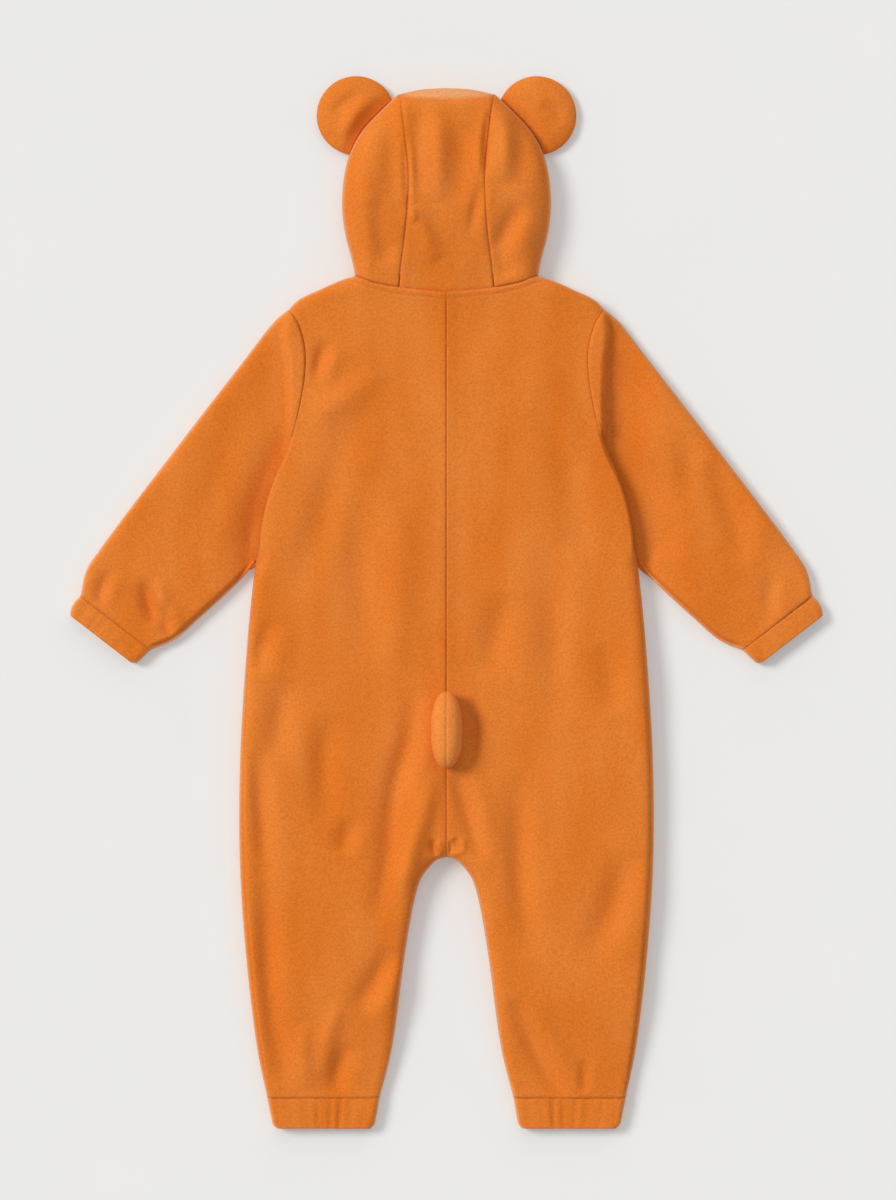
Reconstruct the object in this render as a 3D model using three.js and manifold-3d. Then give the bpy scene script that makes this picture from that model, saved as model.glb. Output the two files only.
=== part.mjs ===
// A child's fleece onesie with a hood, two round ears, elasticated cuffs and a stuffed tail,
// laid out flat with its front down. Millimetres, +Z up, +Y towards the hood, wearer's right at +X.
// Every cut piece is one closed wall of cloth. The right half is worked out and mirrored.
import * as THREE from "three";
import { mergeVertices } from "three/addons/utils/BufferGeometryUtils.js";
import Module from "manifold-3d";

const wasm = await Module();
wasm.setup();

// ---------- driving dimensions ----------
const CLOTH = 2.4; // thickness of the fleece
const SEAM_GAP = 0.3; // between two pieces at a seam
const HALF_GAP = SEAM_GAP / 2;
const TWO_LAYERS = 2 * CLOTH + 0.8; // the least height of a flat sleeve's back above its underside
const UNDER_RIM = 0.6; // the lower half of a folded edge turns in this share of the upper half's radius
const ARMPIT_Y = 35;
const CROTCH_Y = -224.4;
const ANKLE_SEAM_Y = -436.5;
const ARM_ROOT = { x: 140, y: 150 }; // middle of the armhole
const ARM_TIP = { x: 291.7, y: -18.5 }; // middle of the cuff seam
const ZIP_BOTTOM_Y = -150;
const ZIP_HALF_GAP = 4.5; // from the middle to the front's edge beside the zip
const FRONT_NECK_Y = 245;
const ZIP_LIFT = 3.4; // the cloth stands off the floor beside the zip
const LIFT_FADE_X = [15, 36]; // where that lift dies away, to the sides, at the neck and below the zip
const LIFT_FADE_NECK = [FRONT_NECK_Y + 2, FRONT_NECK_Y + 14];
const LIFT_FADE_LOW = [ZIP_BOTTOM_Y - 34, ZIP_BOTTOM_Y - 6];
const ZIP_OPENING_END_Y = ZIP_BOTTOM_Y - 4; // below it the two fronts meet in the middle
const ZIP_COLUMNS_END_Y = ZIP_BOTTOM_Y - 20; // below it the front's columns lie as at a folded edge
const FACE = { y: 345, halfWidth: 54, halfHeight: 85 }; // the face opening, an ellipse
const FACE_TOP_X = 33; // half the centre panel's width at the face opening
const HOOD_TIP_SHARE = 0.9975; // the side panel's corner stops just short of the hood's corner
const HOOD_CORNER_GAP = 0.25; // and the centre panel's corner stops short of it by this
const HOOD_TOP_BOW = 5.2; // rise of the centre panel's last row above its two ends
const EAR = { x: 79.6, y: 428.6, radius: 34.8, seamZ: 4.6, backHeight: 9, frontHeight: 4.4, rim: 0.5 };
const EAR_RINGS = 4;
const EAR_SEGMENTS = 24;
// The closed zip lies in the middle of the front, under the cloth's edges.
const ZIP = { topY: 240, coilZ: 4.3, coilThick: 1.5, coilHalfWidth: 2.6, coilBevel: 0.8 };
const TAPE = { z: 6.1, thick: 0.6, width: 13, pastTop: 3, pastBottom: 6 };
const SLIDER = { y: 228, length: 11, halfWidth: 3.6, plateZ: 2.9, plateThick: 1.1 };
const FLANGE = { top: 5.6, thick: 0.7, inset: 1 }; // a side wall of the slider
const BAIL = { halfWidth: 0.9, reach: 3.4, thick: 0.8, lowZ: 0.5, bridgeThick: 0.7 }; // the slider's loop
const BRIDGE_OVERLAP = { y: 0.2, z: 0.1 }; // how the bail's bridge and its two posts pass each other
const PULL = { axisZ: 2.05, thick: 1.1, length: 24, halfWidth: 2.5, tipHalf: 1.8 };
const PULL_WINDOW = { half: 1.4, end: 5.6, rail: 2 };
const TAIL = { y: -111.8, halfWidth: 13.6, halfLength: 34, halfHeight: 17, centreRise: 12 };
const FAR = 120; // reaches past the ears, the tail and the hood where a solid is cut

// ---------- folded edges and seams of the right half, in order along each line ----------
// edge is the height of the outermost point, rim the radius that the upper half turns in.
const HOOD_EDGE = [
  { x: 43, y: 446.6, edge: 12, rim: 24 },
  { x: 60.5, y: 430, edge: 10, rim: 27 },
  { x: 74.9, y: 413.9, edge: 10, rim: 30 },
  { x: 83.9, y: 397.8, edge: 11, rim: 32 },
  { x: 89.3, y: 380.2, edge: 13, rim: 32 },
  { x: 92, y: 353.8, edge: 14, rim: 32 },
  { x: 91.1, y: 336.2, edge: 13, rim: 30 },
  { x: 88, y: 318.6, edge: 12, rim: 26 },
  { x: 83.2, y: 301, edge: 10, rim: 20 },
  { x: 80.5, y: 286.9, edge: 9, rim: 16 },
];
const HOOD_TOP = [
  { x: 0, y: 452.3, edge: 13, rim: 22 },
  { x: 22, y: 451, edge: 13, rim: 22 },
  { x: 43, y: 446.6, edge: 12, rim: 24 },
];
const SHOULDER = [
  { x: 80.5, y: 286.9, edge: 9, rim: 16 },
  { x: 92.4, y: 283.4, edge: 9, rim: 15 },
  { x: 112.6, y: 274.6, edge: 9, rim: 14 },
  { x: 130.7, y: 265.8, edge: 8, rim: 14 },
  { x: 138.9, y: 257.6, edge: 8, rim: 14 },
];
const SLEEVE_UPPER = [
  { x: 138.9, y: 257.6, edge: 8, rim: 14 },
  { x: 150.5, y: 248.2, edge: 7, rim: 14 },
  { x: 178.2, y: 213, edge: 7, rim: 14 },
  { x: 239.4, y: 133.8, edge: 7, rim: 13 },
  { x: 305.8, y: 45.8, edge: 6.5, rim: 12 },
  { x: 317.2, y: 28.2, edge: 6, rim: 10 },
  { x: 322.5, y: 5.3, edge: 6, rim: 8 },
];
const CUFF_UPPER = [
  { x: 322.5, y: 5.3, edge: 6, rim: 8 },
  { x: 327.4, y: 0.4, edge: 6, rim: 7 },
  { x: 330.9, y: -6.5, edge: 6, rim: 7 },
  { x: 331.5, y: -11.7, edge: 6, rim: 7 },
];
const CUFF_LOWER = [
  { x: 275, y: -55.3, edge: 6, rim: 7 },
  { x: 260.9, y: -42.2, edge: 6, rim: 8 },
];
const SLEEVE_LOWER = [
  { x: 260.9, y: -42.2, edge: 6, rim: 8 },
  { x: 240.2, y: -33.4, edge: 6.5, rim: 12 },
  { x: 219.6, y: -15.8, edge: 7, rim: 13 },
  { x: 181.7, y: 19.4, edge: 7, rim: 14 },
  { x: 168, y: ARMPIT_Y, edge: 8, rim: 14 },
];
const SIDE = [
  { x: 168, y: ARMPIT_Y, edge: 8, rim: 14 },
  { x: 172, y: 1.8, edge: 9, rim: 14 },
  { x: 176, y: -42.2, edge: 9, rim: 14 },
  { x: 181.7, y: -130.2, edge: 9, rim: 14 },
  { x: 182.4, y: CROTCH_Y, edge: 9, rim: 14 },
  { x: 177.3, y: -306.2, edge: 9, rim: 14 },
  { x: 166.8, y: -394.2, edge: 8, rim: 12 },
  { x: 158, y: ANKLE_SEAM_Y, edge: 6.5, rim: 8 },
];
const ANKLE_OUTER = [
  { x: 158, y: ANKLE_SEAM_Y, edge: 6.5, rim: 8 },
  { x: 154.6, y: -453, edge: 6, rim: 7 },
  { x: 152.8, y: -460.3, edge: 6, rim: 7 },
  { x: 149.5, y: -463.4, edge: 6, rim: 7 },
];
const ANKLE_INNER = [
  { x: 66.5, y: -463.4, edge: 6, rim: 7 },
  { x: 63.6, y: -460.3, edge: 6, rim: 7 },
  { x: 61.8, y: -453, edge: 6, rim: 7 },
  { x: 59, y: ANKLE_SEAM_Y, edge: 6.5, rim: 8 },
];
const INSEAM = [
  { x: 59, y: ANKLE_SEAM_Y, edge: 6.5, rim: 8 },
  { x: 48.4, y: -394.2, edge: 8, rim: 12 },
  { x: 36.1, y: -306.2, edge: 9, rim: 14 },
  { x: 28.2, y: -262.2, edge: 9, rim: 14 },
  { x: 22.9, y: -244.6, edge: 9, rim: 14 },
  { x: 17.2, y: -235.8, edge: 9, rim: 14 },
  { x: 8.4, y: -227, edge: 9, rim: 14 },
  { x: 0, y: CROTCH_Y, edge: 9, rim: 14 },
];
// From the shoulder down the armhole seam, then down the body's fold that lies over the sleeve.
// drop is how far the body's edge sinks there, tuck how much lower the sleeve goes in under it.
const ARMHOLE = [
  { x: 138.9, y: 257.6, drop: 0, tuck: 0 },
  { x: 130.2, y: 243.9, drop: 0, tuck: 0 },
  { x: 124.6, y: 222.2, drop: 0, tuck: 0 },
  { x: 124.6, y: 200.5, drop: 0, tuck: 0 },
  { x: 127.8, y: 178.7, drop: 0, tuck: 0 },
  { x: 132.6, y: 157, drop: 0, tuck: 0 },
  { x: 143.4, y: 128, drop: 2, tuck: 2 },
  { x: 153.1, y: 108.8, drop: 4, tuck: 2.7 },
  { x: 160.3, y: 87.1, drop: 6, tuck: 3.5 },
  { x: 165.2, y: 62.9, drop: 8, tuck: 5 },
  { x: 166.8, y: 41.2, drop: 9, tuck: 6 },
  { x: 168, y: ARMPIT_Y, drop: 9, tuck: 6 },
];
const NECK = [
  { x: 0, y: 272.4 },
  { x: 42, y: 276.5 },
  { x: 64, y: 281 },
  { x: 80.5, y: 286.9 },
];
// The seam between the hood's centre and side, from the neck to the top of the hood.
const HOOD_SEAM = [
  { x: 42, y: 276.5 },
  { x: 39.9, y: 297.2 },
  { x: 36.3, y: 324.1 },
  { x: 33.5, y: 370.8 },
  { x: 37.1, y: 414 },
  { x: 41.6, y: 444.9 },
];
// How far the side seam lies in from the folded edge, on the back.
const SIDE_SEAM = [
  { y: ARMPIT_Y, inset: 0 },
  { y: -50, inset: 1.5 },
  { y: -110, inset: 4 },
  { y: -300, inset: 5 },
  { y: -400, inset: 4 },
  { y: ANKLE_SEAM_Y, inset: 1.5 },
];

// ---------- heights of the back, lying on top ----------
const BODY_CROWN = [
  { y: 452, height: 34 },
  { y: 400, height: 40 },
  { y: 350, height: 42 },
  { y: 310, height: 36 },
  { y: 285, height: 28 },
  { y: 272, height: 25 },
  { y: 240, height: 23 },
  { y: 150, height: 24 },
  { y: 0, height: 25 },
  { y: -150, height: 25 },
  { y: CROTCH_Y, height: 24 },
  { y: -330, height: 22 },
  { y: ANKLE_SEAM_Y, height: 14 },
  { y: -463, height: 13 },
];
const ARM_CROWN = [
  { along: -60, height: 20 },
  { along: 0, height: 19.5 },
  { along: 60, height: 17.5 },
  { along: 150, height: 15.5 },
  { along: 222, height: 12.5 },
  { along: 260, height: 12 },
];
// The back lies lower towards the arms, between these places.
const LOW_BY_ARM = { depth: 4, x: [70, 130], y: [60, 150], neckY: [262, 285] };
const DROP_REACH = 14; // the body's edge sinks within this distance of the armhole
const TUCK_REACH = 16; // the sleeve goes lower within about this distance of it
// The largest folds: each a trough (or with a negative depth a ridge) from one point to another,
// in the whole garment's own coordinates, so the two halves differ.
const FOLDS = [
  { x1: 74, y1: 378, x2: 40, y2: 320, width: 11, depth: 7 },
  { x1: 34, y1: 432, x2: 35, y2: 380, width: 7, depth: 5 },
  { x1: -36, y1: 420, x2: -33, y2: 362, width: 7, depth: 5 },
  { x1: -70, y1: 372, x2: -45, y2: 312, width: 12, depth: -3 },
  { x1: -12, y1: 415, x2: 2, y2: 335, width: 10, depth: 4 },
  { x1: 30, y1: 362, x2: 8, y2: 322, width: 9, depth: 4 },
  { x1: -100, y1: 232, x2: -112, y2: 190, width: 10, depth: 3 },
  { x1: -88, y1: 160, x2: -112, y2: 40, width: 14, depth: 3 },
  { x1: -125, y1: 20, x2: -156, y2: -60, width: 13, depth: 4 },
  { x1: -22, y1: -110, x2: -56, y2: -226, width: 12, depth: 5 },
  { x1: -30, y1: -190, x2: -52, y2: -262, width: 9, depth: -3 },
  { x1: 12, y1: -150, x2: 34, y2: -222, width: 9, depth: 3 },
  { x1: 66, y1: -160, x2: 74, y2: -300, width: 13, depth: 4 },
  { x1: 164, y1: -228, x2: 128, y2: -300, width: 11, depth: 4 },
  { x1: -150, y1: -120, x2: -152, y2: -380, width: 12, depth: 4 },
  { x1: -44, y1: -310, x2: -80, y2: -370, width: 11, depth: 3 },
  { x1: -66, y1: -388, x2: -98, y2: -430, width: 9, depth: 4 },
  { x1: 72, y1: -372, x2: 98, y2: -432, width: 9, depth: 4 },
  { x1: 232, y1: 118, x2: 262, y2: 40, width: 12, depth: 2.5 },
  { x1: -270, y1: 12, x2: -256, y2: -30, width: 9, depth: 3 },
  { x1: -180, y1: 175, x2: -215, y2: 60, width: 13, depth: 2 },
];

// ---------- shares of a line's length, where rows and columns of the walls lie ----------
const ARMHOLE_STEPS = [0, 0.012, 0.05, 0.12, 0.23, 0.36, 0.5, 0.643, 0.774, 0.88, 0.95, 0.988, 1];
const HOOD_STEPS = [0, 0.08, 0.16, 0.24, 0.33, 0.42, 0.51, 0.6, 0.69, 0.78, 0.86, 0.93, 0.975, 1];
const SHOULDER_STEPS = [0, 0.25, 0.6];
const TORSO_STEPS = [0, 0.12, 0.3, 0.48, 0.66, 0.82, 0.92, 0.97, 0.993];
const LEG_STEPS = [0, 0.012, 0.037, 0.075, 0.13, 0.21, 0.32, 0.45, 0.6, 0.74, 0.86, 0.94, 1];
const SLEEVE_STEPS = [0, 0.035, 0.1, 0.2, 0.34, 0.48, 0.62, 0.76, 0.88, 0.96, 1];
const NECK_CENTRE_STEPS = [0, 1 / 3, 2 / 3, 1];
const NECK_SIDE_STEPS = [0, 0.27, 0.52, 0.74, 0.9, 0.975, 1];
const HOOD_UNDER_STEPS = [0.03, 0.1, 0.25, 0.55, 1];
const HOOD_TOP_UNDER_STEPS = [0.04, 0.14, 0.35, 0.65, 1];
const CUFF_ROWS = [0, 0.5, 0.85, 1];
// Columns near an edge, as distances in from it.
const TOP_EDGE_COLUMNS = [0, 1.2, 5, 12];
const UNDER_EDGE_COLUMNS = [0, 0.9, 3.5, 8.4];
const ZIP_EDGE_COLUMNS = [0, 4, 10.5, 33];
const UNDER_OUTER_COLUMNS = [8.4, 4.2, 1.2];
const UNDER_RIM_COLUMN = 0.4;
// On the middle line, how far below the neck the shoulder's rows end and the armhole's rows begin.
const SHOULDER_ROWS_END = 14;
const ARMHOLE_ROWS_START = 22;
const HOOD_CENTRE_SHARES = [-1, -2 / 3, -1 / 3, 0, 1 / 3, 2 / 3, 1];
// Across a cuff: its folded rims, its gathered middle and its plain underside.
const CUFF_RIM_SHARES = [0.02, 0.07];
const CUFF_GATHERED = [0.1, 0.9];
const CUFF_UNDER_SHARES = [0.98, 0.93, 0.7, 0.5, 0.3, 0.07, 0.02];
const OUT_OF_SLEEVE = { x: 0.61, y: -0.79 };
const OUT_OF_LEG = { x: 0, y: -1 };
const GATHERS_PER_CUFF = 9;
const GATHER_HEIGHT = 0.5;

// ---------- curves ----------
const lerp = THREE.MathUtils.lerp;
const smoothstep = THREE.MathUtils.smoothstep;

// The value of a column of a table at a place between its rows.
function lookUp(table, key, at, column) {
  const falling = table[0][key] > table[table.length - 1][key];
  const rows = falling ? [...table].reverse() : table;
  if (at <= rows[0][key]) return rows[0][column];
  for (let k = 1; k < rows.length; k++) {
    if (at <= rows[k][key]) {
      const share = (at - rows[k - 1][key]) / (rows[k][key] - rows[k - 1][key]);
      const eased = share * share * (3 - 2 * share);
      return lerp(rows[k - 1][column], rows[k][column], eased);
    }
  }
  return rows[rows.length - 1][column];
}

// A smooth line through a table's points, as close points that carry the table's other columns.
function trace(rows, perSpan = 8) {
  const places = rows.map((row) => new THREE.Vector3(row.x, row.y, 0));
  const curve = new THREE.CatmullRomCurve3(places, false, "centripetal");
  const spans = rows.length - 1;
  const points = [];
  for (let k = 0; k <= spans * perSpan; k++) {
    const row = Math.min(Math.floor(k / perSpan), spans - 1);
    const share = k / perSpan - row;
    const place = curve.getPoint(k / (spans * perSpan));
    const point = {};
    for (const column of Object.keys(rows[0])) {
      point[column] = lerp(rows[row][column], rows[row + 1][column], share);
    }
    points.push({ ...point, x: place.x, y: place.y });
  }
  return points;
}

// The point at a share of a line's length.
function along(line, share) {
  const lengths = [0];
  for (let k = 1; k < line.length; k++) {
    const step = Math.hypot(line[k].x - line[k - 1].x, line[k].y - line[k - 1].y);
    lengths.push(lengths[k - 1] + step);
  }
  const wanted = share * lengths[lengths.length - 1];
  let k = 1;
  while (k < line.length - 1 && lengths[k] < wanted) k++;
  return between(line[k - 1], line[k], (wanted - lengths[k - 1]) / (lengths[k] - lengths[k - 1]));
}

const between = (a, b, share) => ({ x: lerp(a.x, b.x, share), y: lerp(a.y, b.y, share) });
const mirrored = (point) => ({ ...point, x: -point.x });
const joined = (...lines) => lines.flatMap((line, k) => (k ? line.slice(1) : line));

const hoodTop = trace(HOOD_TOP);
const hoodEdge = trace(HOOD_EDGE);
const shoulder = trace(SHOULDER);
const sleeveUpper = trace(SLEEVE_UPPER);
const sleeveLower = trace(SLEEVE_LOWER);
const side = trace(SIDE);
const inseam = trace(INSEAM);
const armhole = trace(ARMHOLE);
const neck = trace(NECK);
const hoodSeam = trace(HOOD_SEAM);
const cuffUpper = trace(CUFF_UPPER);
const cuffLower = trace(CUFF_LOWER);
const ankleOuter = trace(ANKLE_OUTER);
const ankleInner = trace(ANKLE_INNER);

// A folded edge's points with the direction that faces out of the cloth, which is on the line's left.
function withOutside(line) {
  return line.map((point, k) => {
    const before = line[Math.max(k - 1, 0)];
    const after = line[Math.min(k + 1, line.length - 1)];
    const length = Math.hypot(after.x - before.x, after.y - before.y);
    return { ...point, outX: -(after.y - before.y) / length, outY: (after.x - before.x) / length };
  });
}

const upperEdge = withOutside([
  mirrored(hoodTop[1]),
  ...joined(hoodTop, hoodEdge, shoulder, sleeveUpper, cuffUpper),
]);
const underarmEdge = withOutside(joined(cuffLower, sleeveLower));
const sideEdge = withOutside(joined(side, ankleOuter));
const inseamEdge = withOutside([...joined(ankleInner, inseam), mirrored(inseam[inseam.length - 2])]);
const freeEdges = [upperEdge, underarmEdge, sideEdge, inseamEdge];
const edgesOf = {
  body: [upperEdge, sideEdge, inseamEdge],
  sleeve: [upperEdge, underarmEdge],
  hood: [upperEdge],
};

// The nearest point of a set of lines, with its distance and the lines' other columns there.
function nearest(lines, x, y) {
  let best = { distance: Infinity };
  for (const line of lines) {
    for (let k = 1; k < line.length; k++) {
      const a = line[k - 1];
      const b = line[k];
      const dx = b.x - a.x;
      const dy = b.y - a.y;
      const share = THREE.MathUtils.clamp(((x - a.x) * dx + (y - a.y) * dy) / (dx * dx + dy * dy), 0, 1);
      const distance = Math.hypot(x - a.x - share * dx, y - a.y - share * dy);
      if (distance < best.distance - 1e-9) best = { distance, a, b, share };
    }
  }
  const found = { distance: best.distance };
  for (const column of Object.keys(best.a)) found[column] = lerp(best.a[column], best.b[column], best.share);
  return found;
}

// ---------- the garment's skin ----------
function crown(x, y, part) {
  if (part === "sleeve") {
    const armX = ARM_TIP.x - ARM_ROOT.x;
    const armY = ARM_TIP.y - ARM_ROOT.y;
    const run = ((x - ARM_ROOT.x) * armX + (y - ARM_ROOT.y) * armY) / Math.hypot(armX, armY);
    return lookUp(ARM_CROWN, "along", run, "height");
  }
  const low = LOW_BY_ARM;
  const belowNeck = 1 - smoothstep(y, ...low.neckY);
  const towardsArm = smoothstep(x, ...low.x) * smoothstep(y, ...low.y) * belowNeck;
  return lookUp(BODY_CROWN, "y", y, "height") - low.depth * towardsArm;
}

function foldDepth(x, y, hand) {
  let depth = 0;
  for (const fold of FOLDS) {
    const dx = fold.x2 - fold.x1;
    const dy = fold.y2 - fold.y1;
    const raw = ((x * hand - fold.x1) * dx + (y - fold.y1) * dy) / (dx * dx + dy * dy);
    const share = THREE.MathUtils.clamp(raw, 0, 1);
    const off = Math.hypot(x * hand - fold.x1 - share * dx, y - fold.y1 - share * dy) / fold.width;
    const fade = Math.sqrt(Math.max(0, 4 * share * (1 - share)));
    depth += fold.depth * fade * Math.exp(-off * off);
  }
  return depth;
}

function zipLift(x, y) {
  const beside = 1 - smoothstep(Math.abs(x), ...LIFT_FADE_X);
  const upper = 1 - smoothstep(y, ...LIFT_FADE_NECK);
  return ZIP_LIFT * beside * upper * smoothstep(y, ...LIFT_FADE_LOW);
}

// A point of the outer surface and the point of the inner surface behind it.
// face is 1 on the back, -1 on the front, 0 on the folded edge. hand is 1 on the right, -1 on the left.
function skin(x, y, face, part, hand) {
  const near = nearest(freeEdges, x, y);
  const { outX, outY } = nearest(edgesOf[part], x, y);
  const rimPoint = near.distance < 1e-3;
  const top = crown(x, y, part);
  const rise = face > 0 ? top - near.edge : near.edge;
  const radius = face > 0 ? near.rim : near.rim * UNDER_RIM;
  const run = face === 0 || rimPoint ? 0 : Math.min(near.distance / radius, 1);
  const sine = Math.sqrt(1 - (1 - run) ** 2);
  const level = rise * (1 - run);
  const normal = new THREE.Vector3(outX * level, outY * level, face * radius * sine).normalize();
  let z = near.edge + face * rise * sine;
  if (rimPoint) z += face * HALF_GAP;
  if (face > 0) {
    const arm = nearest([armhole], x, y);
    if (part === "body") z -= arm.drop * Math.max(0, 1 - arm.distance / DROP_REACH) ** 2 * sine;
    if (part === "sleeve") z -= (arm.drop + arm.tuck) * Math.exp(-((arm.distance / TUCK_REACH) ** 2)) * sine;
    z -= foldDepth(x, y, hand) * sine;
    if (part === "sleeve") z = Math.max(z, lerp(near.edge, TWO_LAYERS, sine));
  } else if (face < 0) z += zipLift(x, y) * sine;
  const outer = new THREE.Vector3(x, y, z);
  const inner = outer.clone().addScaledVector(normal, -CLOTH);
  return { outer, inner };
}

// ---------- a wall from a grid of skin points ----------
// The grid's rows run one way and its columns the other; a ring's last column meets its first.
function wallGeometry(grid, isRing) {
  const rowCount = grid.length;
  const columnCount = grid[0].length;
  const positions = [];
  for (const surface of ["outer", "inner"]) {
    for (const point of grid.flat()) positions.push(...point[surface].toArray());
  }
  const layer = rowCount * columnCount;
  const at = (row, column, depth) => depth * layer + row * columnCount + (column % columnCount);
  const faces = [];
  const quad = (a, b, c, d) => faces.push(a, b, c, a, c, d);
  const lastColumn = isRing ? columnCount : columnCount - 1;
  for (let r = 0; r < rowCount - 1; r++) {
    for (let c = 0; c < lastColumn; c++) {
      quad(at(r, c, 0), at(r + 1, c, 0), at(r + 1, c + 1, 0), at(r, c + 1, 0));
      quad(at(r, c, 1), at(r, c + 1, 1), at(r + 1, c + 1, 1), at(r + 1, c, 1));
    }
    if (!isRing) {
      quad(at(r, 0, 0), at(r, 0, 1), at(r + 1, 0, 1), at(r + 1, 0, 0));
      quad(at(r, lastColumn, 0), at(r + 1, lastColumn, 0), at(r + 1, lastColumn, 1), at(r, lastColumn, 1));
    }
  }
  for (let c = 0; c < lastColumn; c++) {
    quad(at(0, c, 0), at(0, c + 1, 0), at(0, c + 1, 1), at(0, c, 1));
    const r = rowCount - 1;
    quad(at(r, c, 0), at(r, c, 1), at(r, c + 1, 1), at(r, c + 1, 0));
  }
  const geometry = new THREE.BufferGeometry();
  geometry.setAttribute("position", new THREE.Float32BufferAttribute(positions, 3));
  geometry.setIndex(faces);
  return outward(geometry);
}

// The geometry with its faces pointing out.
function outward(geometry) {
  const position = geometry.getAttribute("position");
  const index = geometry.index.array;
  const corner = (k) => new THREE.Vector3().fromBufferAttribute(position, index[k]);
  let volume = 0;
  for (let k = 0; k < index.length; k += 3) {
    volume += corner(k).dot(corner(k + 1).cross(corner(k + 2)));
  }
  if (volume < 0) {
    for (let k = 0; k < index.length; k += 3) [index[k], index[k + 1]] = [index[k + 1], index[k]];
  }
  geometry.computeVertexNormals();
  return geometry;
}

const fleece = { color: 0xda782c, roughness: 0.95, metalness: 0 };
const zipTape = { color: 0xc96a25, roughness: 0.85, metalness: 0 };
const zipMetal = { color: 0xb9b9b6, roughness: 0.35, metalness: 1 };
const onesie = new THREE.Group();

function addPiece(name, geometry, finish) {
  const mesh = new THREE.Mesh(geometry, new THREE.MeshStandardMaterial(finish));
  mesh.name = name;
  onesie.add(mesh);
}

// Adds a piece's right and left copies. plan gives the right one's grid of { x, y, face } places.
function addPair(name, plan, part, isRing = false) {
  for (const [hand, ending] of [[1, "_right"], [-1, "_left"]]) {
    const grid = plan.map((row) => row.map((place) => skin(place.x, place.y, place.face, part, hand)));
    for (const point of grid.flat()) {
      point.outer.x *= hand;
      point.inner.x *= hand;
    }
    addPiece(name + ending, wallGeometry(grid, isRing), fleece);
  }
}

// ---------- back and front ----------
// Each row runs from the middle or the inseam out to the folded edge or the armhole.
function bodyRows(middleX, neckY) {
  const rows = [];
  const torsoTopY = Math.min(neckY, FRONT_NECK_Y);
  for (const step of SHOULDER_STEPS) {
    const y = lerp(neckY, torsoTopY - SHOULDER_ROWS_END, step);
    rows.push({ inner: { x: middleX(y), y }, outer: along(shoulder, step), kind: "shoulder" });
  }
  const armTopY = torsoTopY - ARMHOLE_ROWS_START;
  ARMHOLE_STEPS.slice(0, -1).forEach((step, k) => {
    const y = lerp(armTopY, ARMPIT_Y, step);
    const kind = k ? "armhole" : "shoulder";
    rows.push({ inner: { x: middleX(y), y }, outer: along(armhole, step), kind });
  });
  const upperSide = side.filter((point) => point.y >= CROTCH_Y - 1e-6);
  const lowerSide = side.filter((point) => point.y <= CROTCH_Y + 1e-6);
  for (const step of TORSO_STEPS) {
    const y = lerp(ARMPIT_Y, CROTCH_Y, step);
    rows.push({ inner: { x: middleX(y), y }, outer: along(upperSide, step), kind: "side" });
  }
  for (const step of LEG_STEPS) {
    const inner = along(inseam, 1 - step);
    inner.x = Math.max(inner.x, HALF_GAP);
    rows.push({ inner, outer: along(lowerSide, step), kind: "leg" });
  }
  return rows;
}

// A point on a row at a distance in from one of its ends.
function inFrom(end, other, distance) {
  const length = Math.hypot(other.x - end.x, other.y - end.y);
  return between(end, other, distance / length);
}

function middlePoints(from, to) {
  return [1 / 3, 2 / 3].map((share) => between(from, to, share));
}

// The back's first row follows the neck seam, through the same points as the hood's first rows.
function neckRow() {
  const centre = NECK_CENTRE_STEPS.map((share) => lerp(0, NECK[1].x, share));
  const outer = NECK_SIDE_STEPS.slice(1).map((share) => lerp(NECK[1].x, NECK[3].x, share));
  return [...centre, ...outer].map((x) => {
    return { x: Math.max(x, HALF_GAP), y: yOnNeck(x) - HALF_GAP, face: 1 };
  });
}

// The y of a line that runs out from the middle, at an x.
function heightAt(line, x) {
  for (let k = 1; k < line.length; k++) {
    const a = line[k - 1];
    const b = line[k];
    if (x <= b.x) return lerp(a.y, b.y, (x - a.x) / (b.x - a.x));
  }
  return line[line.length - 1].y;
}
const yOnNeck = (x) => heightAt(neck, x);

function backPlan() {
  const rows = bodyRows(() => HALF_GAP, NECK[0].y);
  return rows.map(({ inner, outer, kind }, r) => {
    if (r === 0) return neckRow();
    const last = r === rows.length - 1;
    const shift = last ? HALF_GAP : 0;
    const inset = kind === "side" || kind === "leg" ? lookUp(SIDE_SEAM, "y", outer.y, "inset") : 0;
    const edgeGap = inset > SEAM_GAP ? inset + HALF_GAP : 0;
    const start = kind === "armhole" ? HALF_GAP : edgeGap;
    const fromInner = TOP_EDGE_COLUMNS.map((column) => inFrom(inner, outer, column));
    const fromOuter = [...TOP_EDGE_COLUMNS].reverse().map((column) => inFrom(outer, inner, column + start));
    const points = [...fromInner, ...middlePoints(fromInner[3], fromOuter[0]), ...fromOuter];
    return points.map((point) => ({ x: point.x, y: point.y + shift, face: 1 }));
  });
}

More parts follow.
